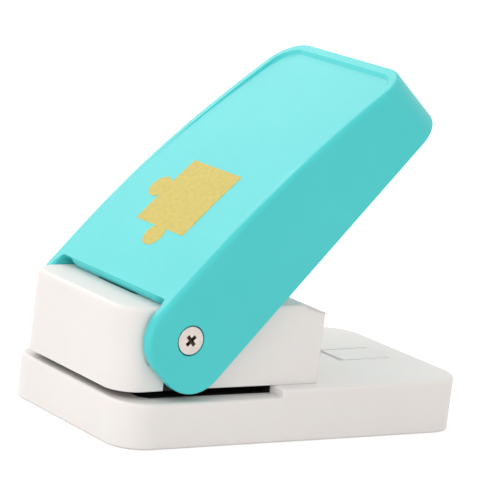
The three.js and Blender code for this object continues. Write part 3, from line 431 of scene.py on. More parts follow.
def change(piece, kind, **settings):
    """Gives a piece one modifier with its settings, and applies it."""
    hold(piece)
    step = piece.modifiers.new(kind.lower(), kind)
    for setting, value in settings.items():
        setattr(step, setting, value)
    bpy.ops.object.modifier_apply(modifier=step.name)


def bevel(piece, wanted, width, steps):
    """Rounds the edges that pass a test."""
    open_mesh(piece)
    pick(piece, "EDGE", wanted)
    bpy.ops.mesh.bevel(
        offset=width * MM,
        offset_type="OFFSET",
        segments=steps,
        profile=0.5,
        affect="EDGES",
        clamp_overlap=False,
    )
    bpy.ops.mesh.select_all(action="SELECT")
    bpy.ops.mesh.remove_doubles(threshold=WELD * MM)
    close_mesh()


def block(name, low, high):
    """A box between two corners, with its place in its mesh."""
    bpy.ops.object.select_all(action="DESELECT")
    size = [(b - a) * MM for a, b in zip(low, high)]
    place = [(a + b) / 2 * MM for a, b in zip(low, high)]
    bpy.ops.mesh.primitive_cube_add(size=1, location=place, scale=size)
    piece = bpy.context.object
    piece.name = name
    bpy.ops.object.transform_apply(location=True, rotation=True, scale=True)
    return piece


def rod(name, axis, place, radius, start, end, sides=48):
    """A round bar along X or Z through a place, from start to end on that axis."""
    bpy.ops.object.select_all(action="DESELECT")
    centre = list(place)
    centre["XYZ".index(axis)] = (start + end) / 2
    turn = (0, QUARTER_TURN, 0) if axis == "X" else (0, 0, 0)
    bpy.ops.mesh.primitive_cylinder_add(
        vertices=sides,
        radius=radius * MM,
        depth=abs(end - start) * MM,
        location=[c * MM for c in centre],
        rotation=turn,
    )
    piece = bpy.context.object
    piece.name = name
    bpy.ops.object.transform_apply(location=True, rotation=True, scale=True)
    return piece


def round_plan(piece, front, rear, front_radius, rear_radius, steps=12):
    """Rounds the upright edges of a box at its front and at its rear."""
    if front_radius:
        bevel(piece, lambda e: along(e, "Z") and middle(e).y < front + NEAR, front_radius, steps)
    if rear_radius:
        bevel(piece, lambda e: along(e, "Z") and middle(e).y > rear - NEAR, rear_radius, steps)


def rounded_block(name, low, high, front_radius, rear_radius, steps=12):
    """A box whose upright edges are rounded."""
    piece = block(name, low, high)
    round_plan(piece, low[1], high[1], front_radius, rear_radius, steps)
    return piece


def slice_off(piece, point, normal):
    """Cuts away what lies beyond a plane, and closes the cut."""
    open_mesh(piece)
    bpy.ops.mesh.select_all(action="SELECT")
    plane = [p * MM for p in point]
    bpy.ops.mesh.bisect(
        plane_co=plane, plane_no=normal, use_fill=True, clear_outer=True, threshold=CUT_SNAP * MM
    )
    close_mesh()


def score(piece, axis, places):
    """Cuts lines round a piece at places on an axis."""
    normal = [int(name == axis) for name in "XYZ"]
    open_mesh(piece)
    for place in places:
        point = [n * place * MM for n in normal]
        bpy.ops.mesh.select_all(action="SELECT")
        bpy.ops.mesh.bisect(plane_co=point, plane_no=normal, threshold=CUT_SNAP * MM)
    close_mesh()


def sink(piece, touched, drop):
    """Lowers the vertices at the places that pass a test, each by its own amount."""
    open_mesh(piece)
    for amount, marks in grouped(piece, "VERT", lambda v: touched(middle(v)), drop, digits=4).items():
        if amount:
            select(piece, "VERT", marks)
            shift(z=-amount)
    close_mesh()


def draw_in(piece, touched, share):
    """Moves the vertices at the places that pass a test towards the middle, by a share of their distance."""
    open_mesh(piece)
    for amount, marks in grouped(piece, "VERT", lambda v: touched(middle(v)), share, digits=5).items():
        if amount:
            select(piece, "VERT", marks)
            bpy.ops.transform.resize(value=(1 - amount, 1, 1), center_override=(0, 0, 0))
    close_mesh()


def fillet(piece, wanted, radius_of, steps=5):
    """Rounds the edges that pass a test, each with the radius for its own place."""
    open_mesh(piece)
    groups = grouped(piece, "EDGE", wanted, radius_of, digits=2)
    widest = max(groups)
    for radius, marks in groups.items():
        select(piece, "EDGE", marks)
        bpy.ops.transform.edge_bevelweight(value=radius / widest)
    close_mesh()
    change(piece, "BEVEL", width=widest * MM, segments=steps, limit_method="WEIGHT", use_clamp_overlap=False)


def combine(piece, tool, operation="DIFFERENCE"):
    """Cuts, adds or intersects a piece with a tool, and puts the tool away."""
    change(piece, "BOOLEAN", operation=operation, solver="EXACT", material_mode="TRANSFER", object=tool)
    bpy.data.objects.remove(tool)


def soften(piece, width, steps=2, angle=35):
    """Breaks every sharp edge a little, as on a moulded or machined piece."""
    change(
        piece,
        "BEVEL",
        width=width * MM,
        segments=steps,
        limit_method="ANGLE",
        angle_limit=math.radians(angle),
        use_clamp_overlap=True,
        miter_outer="MITER_ARC",
    )


def smooth(piece, angle=38):
    """Smooth shading, with flat faces left flat and real edges left crisp."""
    hold(piece)
    bpy.ops.object.shade_smooth_by_angle(angle=math.radians(angle))
    change(piece, "WEIGHTED_NORMAL", keep_sharp=True)


def settle(piece, turn=0, place=(0, 0, 0)):
    """Turns a piece about X, moves it, and puts its place in its mesh."""
    hold(piece)
    piece.rotation_euler = (turn, 0, 0)
    piece.location = [p * MM for p in place]
    bpy.ops.object.transform_apply(location=True, rotation=True, scale=True)


def raise_lever(piece):
    """Brings a piece from the lever's own frame to its place on the punch."""
    settle(piece, RAISED, PIVOT)


def blend(first, second, value, start, end):
    """Goes from the first to the second number while a value goes from start to end."""
    share = min(1, max(0, (value - start) / (end - start)))
    return first + (second - first) * share


# ---------- finishes ----------

def new_finish(name):
    """A new material, with its node tree, its shader and the object's own coordinates."""
    material = bpy.data.materials.new(name)
    material.use_nodes = True
    tree = material.node_tree
    place = tree.nodes.new("ShaderNodeTexCoord").outputs["Object"]
    return material, tree, tree.nodes["Principled BSDF"], place


def noise(tree, place, scale, detail):
    cloud = tree.nodes.new("ShaderNodeTexNoise")
    cloud.inputs["Scale"].default_value = scale
    cloud.inputs["Detail"].default_value = detail
    tree.links.new(place, cloud.inputs["Vector"])
    return cloud.outputs["Fac"]


def mottle(tree, socket, place, scale, detail, low, high):
    """Feeds soft noise between two colours into a socket."""
    ramp = tree.nodes.new("ShaderNodeValToRGB")
    for stop, position, colour in zip(ramp.color_ramp.elements, (0.3, 0.7), (low, high)):
        stop.position = position
        stop.color = (*colour, 1)
    tree.links.new(noise(tree, place, scale, detail), ramp.inputs["Fac"])
    tree.links.new(ramp.outputs["Color"], socket)


def gloss(tree, shader, place, scale, detail, low, high):
    """Lets the roughness vary between two values."""
    mottle(tree, shader.inputs["Roughness"], place, scale, detail, (low, low, low), (high, high, high))


def relief(tree, shader, height, strength, depth):
    """Raises the surface a little by a height pattern."""
    bump = tree.nodes.new("ShaderNodeBump")
    bump.inputs["Strength"].default_value = strength
    bump.inputs["Distance"].default_value = depth * MM
    tree.links.new(height, bump.inputs["Height"])
    tree.links.new(bump.outputs["Normal"], shader.inputs["Normal"])


def grain(tree, shader, place, scale, strength, depth):
    """A fine raised grain on the surface."""
    relief(tree, shader, noise(tree, place, scale, 3), strength, depth)


def moulded_plastic(name, dark, light, rough, depth):
    """Satin moulded plastic: a faint cloudiness, a fine tool grain, uneven gloss."""
    material, tree, shader, place = new_finish(name)
    mottle(tree, shader.inputs["Base Color"], place, scale=45, detail=3, low=dark, high=light)
    gloss(tree, shader, place, scale=700, detail=2, low=rough - 0.04, high=rough + 0.04)
    grain(tree, shader, place, scale=5200, strength=0.12, depth=0.02)
    shader.inputs["IOR"].default_value = 1.55
    shader.inputs["Subsurface Weight"].default_value = 0.3
    shader.inputs["Subsurface Radius"].default_value = [part * MM for part in depth]
    shader.inputs["Subsurface Scale"].default_value = 1.0
    return material


def coated_metal(name):
    """Black coated sheet metal with a slight orange peel."""
    material, tree, shader, place = new_finish(name)
    dark, light = (0.012, 0.011, 0.011), (0.022, 0.020, 0.020)
    mottle(tree, shader.inputs["Base Color"], place, scale=260, detail=4, low=dark, high=light)
    gloss(tree, shader, place, scale=500, detail=3, low=0.38, high=0.52)
    grain(tree, shader, place, scale=1400, strength=0.25, depth=0.03)
    shader.inputs["Metallic"].default_value = 0.3
    return material


def drawn_steel(name, dark, light, rough, stretch):
    """Steel with fine drawn lines along the direction in which the noise is stretched."""
    material, tree, shader, place = new_finish(name)
    lines = tree.nodes.new("ShaderNodeMapping")
    lines.inputs["Scale"].default_value = stretch
    tree.links.new(place, lines.inputs["Vector"])
    streaks = lines.outputs["Vector"]
    mottle(tree, shader.inputs["Base Color"], streaks, scale=900, detail=3, low=dark, high=light)
    gloss(tree, shader, streaks, scale=1500, detail=3, low=rough - 0.06, high=rough + 0.08)
    grain(tree, shader, streaks, scale=2600, strength=0.12, depth=0.01)
    shader.inputs["Metallic"].default_value = 1
    return material


def turned_nickel(name, axis_place):
    """Plated screw head with faint rings from the lathe about its own axis."""
    material, tree, shader, place = new_finish(name)
    centred = tree.nodes.new("ShaderNodeMapping")
    centred.inputs["Location"].default_value = [-p * MM for p in axis_place]
    tree.links.new(place, centred.inputs["Vector"])
    rings = tree.nodes.new("ShaderNodeTexWave")
    rings.wave_type = "RINGS"
    rings.rings_direction = "X"
    rings.inputs["Scale"].default_value = 900
    rings.inputs["Distortion"].default_value = 1.5
    tree.links.new(centred.outputs["Vector"], rings.inputs["Vector"])
    relief(tree, shader, rings.outputs["Fac"], strength=0.12, depth=0.008)
    dark, light = (0.66, 0.595, 0.55), (0.75, 0.68, 0.635)
    mottle(tree, shader.inputs["Base Color"], place, scale=600, detail=3, low=dark, high=light)
    gloss(tree, shader, place, scale=1200, detail=2, low=0.42, high=0.52)
    shader.inputs["Metallic"].default_value = 0.85
    return material


def gold_foil(name):
    """Hot-stamped gold foil: satin, with a fine uneven grain."""
    material, tree, shader, place = new_finish(name)
    dark, light = (0.49, 0.395, 0.07), (0.565, 0.46, 0.09)
    mottle(tree, shader.inputs["Base Color"], place, scale=900, detail=4, low=dark, high=light)
    gloss(tree, shader, place, scale=1600, detail=2, low=0.40, high=0.55)
    grain(tree, shader, place, scale=2200, strength=0.2, depth=0.012)
    shader.inputs["Metallic"].default_value = 0.25
    return material


def rubber(name):
    """Matte dark rubber."""
    material, tree, shader, place = new_finish(name)
    dark, light = (0.030, 0.030, 0.030), (0.045, 0.045, 0.045)
    mottle(tree, shader.inputs["Base Color"], place, scale=300, detail=3, low=dark, high=light)
    gloss(tree, shader, place, scale=900, detail=2, low=0.75, high=0.9)
    grain(tree, shader, place, scale=2500, strength=0.4, depth=0.03)
    return material


white_plastic = moulded_plastic(
    "white_plastic_finish", (0.852, 0.816, 0.803), (0.872, 0.838, 0.824), 0.46, (2.2, 1.4, 1.0)
)
turquoise_plastic = moulded_plastic(
    "turquoise_plastic_finish", (0.050, 0.630, 0.640), (0.058, 0.655, 0.665), 0.38, (1, 1.4, 1.4)
)
black_metal = coated_metal("black_metal_finish")
steel_flat = drawn_steel("steel_flat_finish", (0.50, 0.49, 0.47), (0.62, 0.60, 0.58), 0.34, (1, 0.08, 1))
steel_turned = drawn_steel("steel_turned_finish", (0.55, 0.54, 0.52), (0.68, 0.66, 0.64), 0.28, (0.1, 1, 1))
spring_steel = drawn_steel("spring_steel_finish", (0.42, 0.41, 0.40), (0.55, 0.54, 0.53), 0.3, (1, 1, 0.3))
screw_plate = turned_nickel("screw_plate_finish", PIVOT)
# Dark brown steel for the cross recess: painted shade, standing in for the shadow that falls inside the
# cross.
recess_painted_shade = drawn_steel(
    "screw_recess_finish", (0.055, 0.038, 0.027), (0.12, 0.088, 0.062), 0.5, (1, 1, 1)
)
foil = gold_foil("gold_foil_finish")
foot_rubber = rubber("foot_rubber_finish")


def coat(piece, material):
    """Gives a piece its finish, before other finishes come in with a tool."""
    piece.data.materials.clear()
    piece.data.materials.append(material)


def dress(node, material):
    """Gives a CAD node a better finish, without touching its shape."""
    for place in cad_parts[node].material_slots:
        place.material = material


def hand_over(piece, body, slot, *nodes):
    """Says on which body a piece rides and which CAD nodes it replaces; its slot is not used."""
    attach(piece, body)
    if nodes:
        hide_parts(*nodes)


# ---------- base ----------

def deck_rise(place):
    """How much the deck has risen at a place behind the head."""
    return blend(0, DECK_RISE, place.y, HEAD_REAR, BASE_REAR)


def make_base():
    """The hollow white shell: a step down to the paper floor, the die's pocket, a slot in the deck."""
    low = (-BASE_HALF, BASE_FRONT, BASE_BOTTOM)
    high = (BASE_HALF, BASE_REAR, FLOOR_TOP)
    base = rounded_block("base_shell_looks", low, high, *BASE_CORNERS, steps=14)
    score(base, "Y", [STOP_Y])
    open_mesh(base)
    pick(base, "FACE", lambda f: faces(f, "Z") and middle(f).y > STOP_Y)
    extrude(z=DECK_TOP - FLOOR_TOP)
    bpy.ops.mesh.select_all(action="SELECT")
    bpy.ops.mesh.dissolve_limited(angle_limit=math.radians(0.5))
    close_mesh()
    outline = lambda e: sharp(e) and level(e)
    bevel(base, lambda e: outline(e) and middle(e).z > FLOOR_TOP - NEAR, BASE_FILLET, steps=4)
    bevel(base, lambda e: outline(e) and middle(e).z < BASE_BOTTOM + NEAR, BASE_LOW_FILLET, steps=2)
    score(base, "Y", [HEAD_REAR])
    sink(base, lambda p: p.z > DECK_TOP - BASE_FILLET - NEAR, lambda p: -deck_rise(p))

    half = BASE_HALF - BASE_WALL
    rear = BASE_REAR - BASE_WALL
    corners = [radius - BASE_WALL for radius in BASE_CORNERS]
    room_low = (-half, BASE_FRONT + BASE_WALL, BELOW)
    combine(base, rounded_block("room", room_low, (half, rear, FLOOR_TOP - BASE_WALL), *corners))
    room_low = (-half, STOP_Y + BASE_WALL, BELOW)
    combine(base, rounded_block("deck_room", room_low, (half, rear, DECK_LOW), 0, corners[1]))

    pocket_low = (-DIE_HALF - DIE_GAP, DIE_FRONT - DIE_GAP, DIE_LOW - DIE_GAP)
    pocket = block("pocket", pocket_low, (DIE_HALF + DIE_GAP, STOP_Y, ABOVE))
    round_plan(pocket, DIE_FRONT, 0, DIE_CORNER, 0, steps=1)
    combine(base, pocket)
    for x in LUG_PLACES:
        reach = LUG_HALF + COVER_GAP
        low = (x - reach, LUG_FRONT - COVER_GAP, LUG_LOW - COVER_GAP)
        combine(base, block("lug_pocket", low, (x + reach, LUG_POCKET_REAR, LUG_TOP + COVER_GAP)))
    soften(base, BASE_EDGE)

    slot_low = (-SLOT_HALF, SLOT_FRONT, HOLLOW)
    slot_high = (SLOT_HALF, LATCH_ROOT, ABOVE)
    combine(base, rounded_block("latch_slot", slot_low, slot_high, *SLOT_CORNERS, steps=3))
    slot_end = LATCH_ROOT - SLOT_CORNERS[1] - NEAR / 2
    rim = lambda p: abs(p.x) < SLOT_HALF + NEAR and SLOT_FRONT - NEAR < p.y < slot_end and p.z > DECK_TOP
    bevel(base, lambda e: rim(middle(e)) and sharp(e), LATCH_EDGE, steps=2)
    coat(base, white_plastic)
    smooth(base)
    hand_over(base, "base", "white_plastic", "base_shell")


def jigsaw(name, centre, side, knob, offset, front_shift, low, high):
    """The figure that is cut: a square with one knob to the left and one to the front."""
    x, y = centre
    half = side / 2
    figure = block(name, (x - half, y - half, low), (x + half, y + half, high))
    left = rod("left_knob", "Z", (x - half - offset, y, 0), knob, low, high, sides=64)
    front = rod("front_knob", "Z", (x + front_shift, y - half - offset, 0), knob, low, high, sides=64)
    combine(figure, left, "UNION")
    combine(figure, front, "UNION")
    return figure


def make_die_plate():
    """The black plate in the paper floor, and the black stop at its rear edge."""
    plate = block("die_plate_looks", (-DIE_HALF, DIE_FRONT, DIE_LOW), (DIE_HALF, DIE_REAR, FLOOR_TOP))
    round_plan(plate, DIE_FRONT, 0, DIE_CORNER, 0, steps=1)
    combine(plate, jigsaw("die_hole", DIE_FIGURE_PLACE, *DIE_FIGURE, HOLLOW, ABOVE))
    for x in DIE_SCREWS_X:
        for y in DIE_SCREWS_Y:
            combine(plate, rod("screw_hole", "Z", (x, y, 0), DIE_SCREW_HOLE, HOLLOW, DIE_SCREW_TOP, sides=24))
    soften(plate, DIE_EDGE)
    coat(plate, black_metal)
    smooth(plate)
    hand_over(plate, "base", "black_metal", "die_plate")

    half = DIE_HALF + STOP_OVERLAP
    stop_low = (-half, DIE_REAR - STOP_OVERLAP, FLOOR_TOP)
    stop = block("paper_stop_looks", stop_low, (half, STOP_Y - STOP_GAP, STOP_TOP))
    soften(stop, STOP_EDGE)
    coat(stop, black_metal)
    smooth(stop)
    hand_over(stop, "base", "black_metal")


def make_latch():
    """The sprung tongue in the deck, with a barbed leg under its tip."""
    tongue_low = (-LATCH_HALF, LATCH_TIP, DECK_LOW)
    tongue = block("deck_latch_looks", tongue_low, (LATCH_HALF, LATCH_ROOT - LATCH_GAP, DECK_TOP))
    open_mesh(tongue)
    pick(tongue, "VERT", lambda v: middle(v).y > LATCH_ROOT - 1 and middle(v).z < DECK_LOW + NEAR)
    shift(y=-ROOT_SLANT)
    close_mesh()
    score(tongue, "Y", [LEG_REAR])
    score(tongue, "X", [LEG_HALF, -LEG_HALF])
    open_mesh(tongue)
    leg = lambda p: p.y < LEG_REAR and abs(p.x) < LEG_HALF
    pick(tongue, "FACE", lambda f: faces(f, "Z", -1) and leg(middle(f)))
    extrude(z=-LEG_LENGTH)
    extrude(z=-BARB_LENGTH)
    pick(tongue, "FACE", lambda f: faces(f, "Y", -1) and middle(f).z < DECK_LOW - LEG_LENGTH)
    extrude(y=-BARB_REACH)
    close_mesh()
    sink(tongue, lambda p: p.z > DECK_TOP - NEAR, lambda p: -deck_rise(p))
    upper = lambda p: p.z > DECK_LOW + NEAR
    tip = lambda e: along(e, "Z") and middle(e).y < LATCH_TIP + NEAR
    bevel(tongue, lambda e: tip(e) and upper(middle(e)), LATCH_CORNER, steps=3)
    rim = lambda p: p.y < LATCH_ROOT - 0.5 and upper(p)
    bevel(tongue, lambda e: sharp(e) and rim(middle(e)), LATCH_EDGE, steps=2)
    coat(tongue, white_plastic)
    smooth(tongue)
    hand_over(tongue, "latch", "white_plastic", "deck_latch")


def make_bottom_cover():
    """The tray that closes the chip space from below, with lugs in front and a hook for the barb."""
    margin = BASE_WALL + COVER_GAP
    low = (margin - BASE_HALF, BASE_FRONT + margin, COVER_BOTTOM)
    high = (BASE_HALF - margin, BASE_REAR - margin, COVER_TOP)
    corners = [radius - margin for radius in BASE_CORNERS]
    cover = rounded_block("bottom_cover_looks", low, high, *corners)
    open_mesh(cover)
    pick(cover, "FACE", lambda f: faces(f, "Z"))
    inset(COVER_RIM)
    extrude(z=-COVER_HOLLOW)
    close_mesh()
    catch = block("catch", (-LEG_HALF, CATCH_FRONT, CATCH_LOW), (LEG_HALF, CATCH_REAR, CATCH_TOP))
    score(catch, "Z", [HOOK_LOW])
    open_mesh(catch)
    pick(catch, "FACE", lambda f: faces(f, "Y") and middle(f).z > HOOK_LOW)
    extrude(y=HOOK_REACH)
    close_mesh()
    combine(cover, catch, "UNION")
    for x in LUG_PLACES:
        lug = block("lug", (x - LUG_HALF, LUG_FRONT, LUG_LOW), (x + LUG_HALF, LUG_REAR, LUG_TOP))
        combine(cover, lug, "UNION")
    for y in (-FOOT_Y, FOOT_Y):
        for x in (-FOOT_X, FOOT_X):
            combine(cover, rod("seat", "Z", (x, y, 0), FOOT_RADIUS + SEAT_GAP, SEAT_LOW, SEAT_TOP))
    soften(cover, COVER_EDGE)
    coat(cover, white_plastic)
    smooth(cover)
    hand_over(cover, "base", "white_plastic", "bottom_cover")


def make_feet():
    """One foot is modelled and copied, each copy with its own mesh."""
    first = rod("foot_looks", "Z", (0, 0, 0), FOOT_RADIUS, 0, FOOT_TOP)
    open_mesh(first)
    pick(first, "FACE", lambda f: faces(f, "Z", -1))
    for rim in FOOT_RIMS:
        inset(rim)
    shift(z=FOOT_DISH)
    close_mesh()
    soften(first, FOOT_EDGE)
    coat(first, foot_rubber)
    smooth(first)
    for word_y, y in (("front", -FOOT_Y), ("rear", FOOT_Y)):
        for word_x, x in (("left", -FOOT_X), ("right", FOOT_X)):
            foot = first.copy()
            foot.data = first.data.copy()
            foot.name = f"foot_{word_y}_{word_x}_looks"
            bpy.context.collection.objects.link(foot)
            settle(foot, place=(x, y, 0))
            hand_over(foot, "base", "foot_rubber", f"foot_{word_y}_{word_x}")
    bpy.data.objects.remove(first)


# ---------- head ----------

def head_body(name, wall):
    """The head's outer form, or the room inside it when a wall is given."""
    low = (-HEAD_HALF + wall, BASE_FRONT + wall, HEAD_BOTTOM - (HEAD_ROOM_DROP if wall else 0))
    high = (HEAD_HALF - wall, HEAD_REAR - wall, HEAD_TOP - wall)
    corners = [max(radius - wall, 0) for radius in HEAD_CORNERS]
    body = rounded_block(name, low, high, *corners)
    rise = math.atan2(SLOPE_DROP, HEAD_REAR - SLOPE_Y)
    slice_off(body, (0, SLOPE_Y, HEAD_TOP - wall), (0, math.sin(rise), math.cos(rise)))
    return body


def make_head():
    """The white box over the punch frame, open below and under the lever's press arms."""
    head = head_body("head_cover_looks", 0)
    upper = lambda p: p.z > HEAD_UPPER
    # The blunt edge across the top, where the slope to the rear starts
    bevel(head, lambda e: 10 < turn_of(e) < 30 and along(e, "X") and upper(middle(e)), SLOPE_ROUND, steps=3)
    radius = lambda p: blend(HEAD_FILLET, HEAD_REAR_FILLET, p.y, *HEAD_FILLET_FADE)
    fillet(head, lambda e: sharp(e) and upper(middle(e)) and not along(e, "Z"), radius)
    draw_in(head, upper, lambda p: HEAD_DRAFT / HEAD_HALF)
    score(head, "Y", [DIP_START])
    dip = lambda p: blend(0, HEAD_DIP, p.y, DIP_START, BASE_FRONT)
    sink(head, lambda p: p.z < HEAD_BOTTOM + NEAR, dip)
    combine(head, head_body("head_room", HEAD_WALL))

    low = (-OPENING_HALF, OPENING_FRONT, HEAD_UPPER)
    high = (OPENING_HALF, OPENING_REAR, OPENING_TOP)
    combine(head, rounded_block("opening", low, high, OPENING_CORNER, OPENING_CORNER, steps=5))
    # Round slots for the frame's hubs, drawn down so that the head can be put on from above
    for side in (-1, 1):
        ends = (side * HUB_SLOT_INNER, side * HUB_SLOT_OUTER)
        slot = rod("hub_slot", "X", PIVOT, HUB_SLOT_RADIUS, *ends, sides=64)
        open_mesh(slot)
        pick(slot, "FACE", lambda f: f.normal.z < -0.05)
        extrude(z=-HUB_SLOT_DROP)
        close_mesh()
        combine(head, slot)
    for x in BOSS_PLACES:
        combine(head, rod("boss", "Z", (x, BOSS_Y, 0), BOSS_RADIUS, HEAD_BOTTOM, BOSS_TOP, sides=32), "UNION")
        tie = block("boss_tie", (x - TIE_HALF, BOSS_Y, HEAD_BOTTOM), (x + TIE_HALF, TIE_REAR, BOSS_TOP))
        combine(head, tie, "UNION")
        hole = rod("boss_hole", "Z", (x, BOSS_Y, 0), BOSS_HOLE, BOSS_HOLE_LOW, BOSS_HOLE_TOP, sides=24)
        combine(head, hole)
    soften(head, HEAD_EDGE)
    coat(head, white_plastic)
    smooth(head)
    hand_over(head, "base", "white_plastic", "head_cover")


# ---------- lever ----------

def arc_drop(place, radius=LEVER_ARC):
    """How far the lever's top has curved down at a place along it."""
    return max(0, place.y - LEVER_ARC_START) ** 2 / (2 * radius)


def panel_depth(place):
    """How deep the panel's floor lies under the lever's top."""
    return arc_drop(place, PANEL_FLOOR_ARC) - arc_drop(place)


def bend_places(start, end, step=BEND_STEP):
    """Where a piece is scored across, so that it can follow the curve of the lever's top."""
    return range(start, math.ceil(end), step)


def lean(place):
    """How much the sides lean in at a place, as a share of the half width."""
    share = blend(0, 1, place.y, LEAN_START, LEAN_END)
    return LEVER_LEAN * share * share * (3 - 2 * share) / LEVER_HALF


def outline_radius(place):
    """The radius of the lever's outer edges at a place, before it is curved."""
    if place.z < 0:
        return blend(LOW_FILLET, FRONT_FILLET, place.z, LEVER_LOW, LEVER_LOW + LOW_FADE)
    if place.y < 1:
        return blend(FRONT_FILLET, SIDE_FILLET, place.z, *FRONT_FADE)
    return blend(SIDE_FILLET, REAR_FILLET, place.y, LEVER_END - LEVER_CORNER, LEVER_END)


def make_lever_body():
    """The long shell: front round, rear corners, shallow panel, curved top, filleted outline."""
    low = (-LEVER_HALF, LEVER_FRONT, LEVER_LOW)
    lever = block("lever_shell_looks", low, (LEVER_HALF, LEVER_END, LEVER_TOP))
    round_plan(lever, 0, LEVER_END, 0, LEVER_CORNER, steps=14)
    front = lambda e: along(e, "X") and middle(e).y < LEVER_FRONT + NEAR
    bevel(lever, lambda e: front(e) and middle(e).z > 0, LEVER_ROUNDS[0], steps=16)
    bevel(lever, lambda e: front(e) and middle(e).z < LEVER_LOW + NEAR, LEVER_ROUNDS[1], steps=14)

    # The panel is set in from the rear part of the top, the one face there with many vertices. Its front runs
    # out to nothing
    score(lever, "Y", [PANEL_START])
    panel = lambda f: faces(f, "Z") and middle(f).y > PANEL_START + 2 and len(f.verts) > 8
    open_mesh(lever)
    for rim, pull in PANEL_RIMS:
        pick(lever, "FACE", panel)
        inset(rim)
        pick(lever, "VERT", lambda v: v.select and middle(v).y > PANEL_REAR)
        shift(y=-pull)
    pick(lever, "FACE", panel)
    shift(z=PANEL_MARK)
    close_mesh()
    fillet(lever, sharp, outline_radius)

    score(lever, "Y", bend_places(BEND_START, LEVER_END))
    marked = lambda p: max(0, p.z - LEVER_TOP) / PANEL_MARK
    drop = lambda p: arc_drop(p) + marked(p) * (panel_depth(p) + PANEL_MARK)
    sink(lever, lambda p: p.z > LEVER_TOP - SIDE_FILLET - NEAR, drop)
    draw_in(lever, lambda p: p.z > LEAN_LOW, lean)
    return lever


def lever_room():
    """What is hollow under the lever's plate and between its cheeks."""
    inner_end = LEVER_END - LEVER_SIDE_WALL
    ceiling = LEVER_TOP - LEVER_TOP_WALL
    corner = LEVER_CORNER - LEVER_SIDE_WALL
    room = rounded_block("room", (-LEVER_INNER, -FAR, -FAR), (LEVER_INNER, inner_end, ceiling), 0, corner)
    score(room, "Y", bend_places(BEND_START, inner_end))
    sink(room, lambda p: p.z > ceiling - NEAR, lambda p: arc_drop(p, LEVER_ARC - LEVER_TOP_WALL))
    return room


def front_cut():
    """What is cut away in front of the plate and under its two front corners, round its front lip."""
    cut_high = (LEVER_INNER, LIP_RELIEF, FAR)
    cut = rounded_block("front_cut", (-LEVER_INNER, -FAR, 0), cut_high, 0, RELIEF_CORNER, steps=4)
    hollow_low = (-LEVER_INNER, RELIEF_FRONT, RELIEF_LOW)
    combine(cut, block("hollow", hollow_low, (LEVER_INNER, RELIEF_REAR, RELIEF_TOP)), "UNION")
    lip = block("lip", (-LIP_HALF, PLATE_START, LIP_LOW), (LIP_HALF, LIP_END, LEVER_TOP + LIP_PROUD))
    bevel(lip, lambda e: along(e, "Z") and middle(e).y < PLATE_START + NEAR, LIP_CORNER, steps=10)
    rim = lambda e: level(e) and middle(e).z > LEVER_TOP and middle(e).y < LIP_END - NEAR
    bevel(lip, rim, LIP_ROUND, steps=7)
    combine(cut, lip)
    return cut


def front_rest():
    """What is cut off under the plate's front edge, so that it rests flat on the head with the lever up."""
    rest = block("rest", (-LEVER_INNER, REST_FRONT, REST_LOW), (LEVER_INNER, LEVER_ARC_START, FAR))
    up = (0, math.sin(RAISED), math.cos(RAISED))
    height = HEAD_TOP + REST_GAP - PIVOT[2]
    slice_off(rest, [height * part for part in up], up)
    return rest


def press_arm(side):
    """One of the two arms under the plate that carry the roller."""
    u, n = ROLLER
    low, high = sorted((side * ARM_INNER, side * ARM_OUTER))
    arm = block("press_arm", (low, u - ARM_ROUND, n - ARM_ROUND), (high, u + ARM_ROUND, ARM_TOP))
    bevel(arm, lambda e: along(e, "X") and middle(e).z < n, ARM_ROUND, steps=12)
    open_mesh(arm)
    top = lambda v: middle(v).z > ARM_TOP - NEAR
    pick(arm, "VERT", lambda v: top(v) and middle(v).y > u)
    shift(y=ARM_SPREAD[0])
    pick(arm, "VERT", lambda v: top(v) and middle(v).y < u)
    shift(y=ARM_SPREAD[1])
    close_mesh()
    combine(arm, rod("bore", "X", (0, u, n), PIN_BORE, low - 1, high + 1, sides=32))
    return arm


def rib(x):
    """A stiffening rib under the rear of the plate."""
    top = LEVER_TOP - LEVER_TOP_WALL / 2
    low = LEVER_TOP - LEVER_TOP_WALL - RIB_DEPTH
    piece = block("rib", (x - RIB_HALF, RIB_START, low), (x + RIB_HALF, RIB_END, top))
    score(piece, "Y", bend_places(RIB_START + BEND_STEP, RIB_END))
    sink(piece, lambda p: True, arc_drop)
    return piece


def make_lever():
    """The turquoise lever, hollow below, with press arms, ribs and the screws' holes."""
    lever = make_lever_body()
    for tool in (lever_room(), front_cut(), front_rest()):
        combine(lever, tool)
    free = LIP_RELIEF - RELIEF_CORNER - NEAR
    inner = lambda p: abs(abs(p.x) - LEVER_INNER) < NEAR and p.y < free
    bevel(lever, lambda e: inner(middle(e)) and not along(e, "X") and sharp(e), CHEEK_ROUND, steps=4)
    for piece in [rib(x) for x in RIB_PLACES] + [press_arm(side) for side in (-1, 1)]:
        combine(lever, piece, "UNION")
    for side in (-1, 1):
        ends = sorted((side * SCREW_SEAT_INNER, side * FAR))
        combine(lever, rod("screw_seat", "X", (0, 0, 0), SCREW_SEAT, *ends, sides=64))
        ends = sorted((side * SCREW_BORE_INNER, side * FAR))
        combine(lever, rod("screw_bore", "X", (0, 0, 0), SCREW_BORE, *ends))
    soften(lever, LEVER_EDGE)
    coat(lever, turquoise_plastic)
    raise_lever(lever)
    smooth(lever, angle=32)
    hand_over(lever, "lever", "turquoise_plastic", "lever_shell")


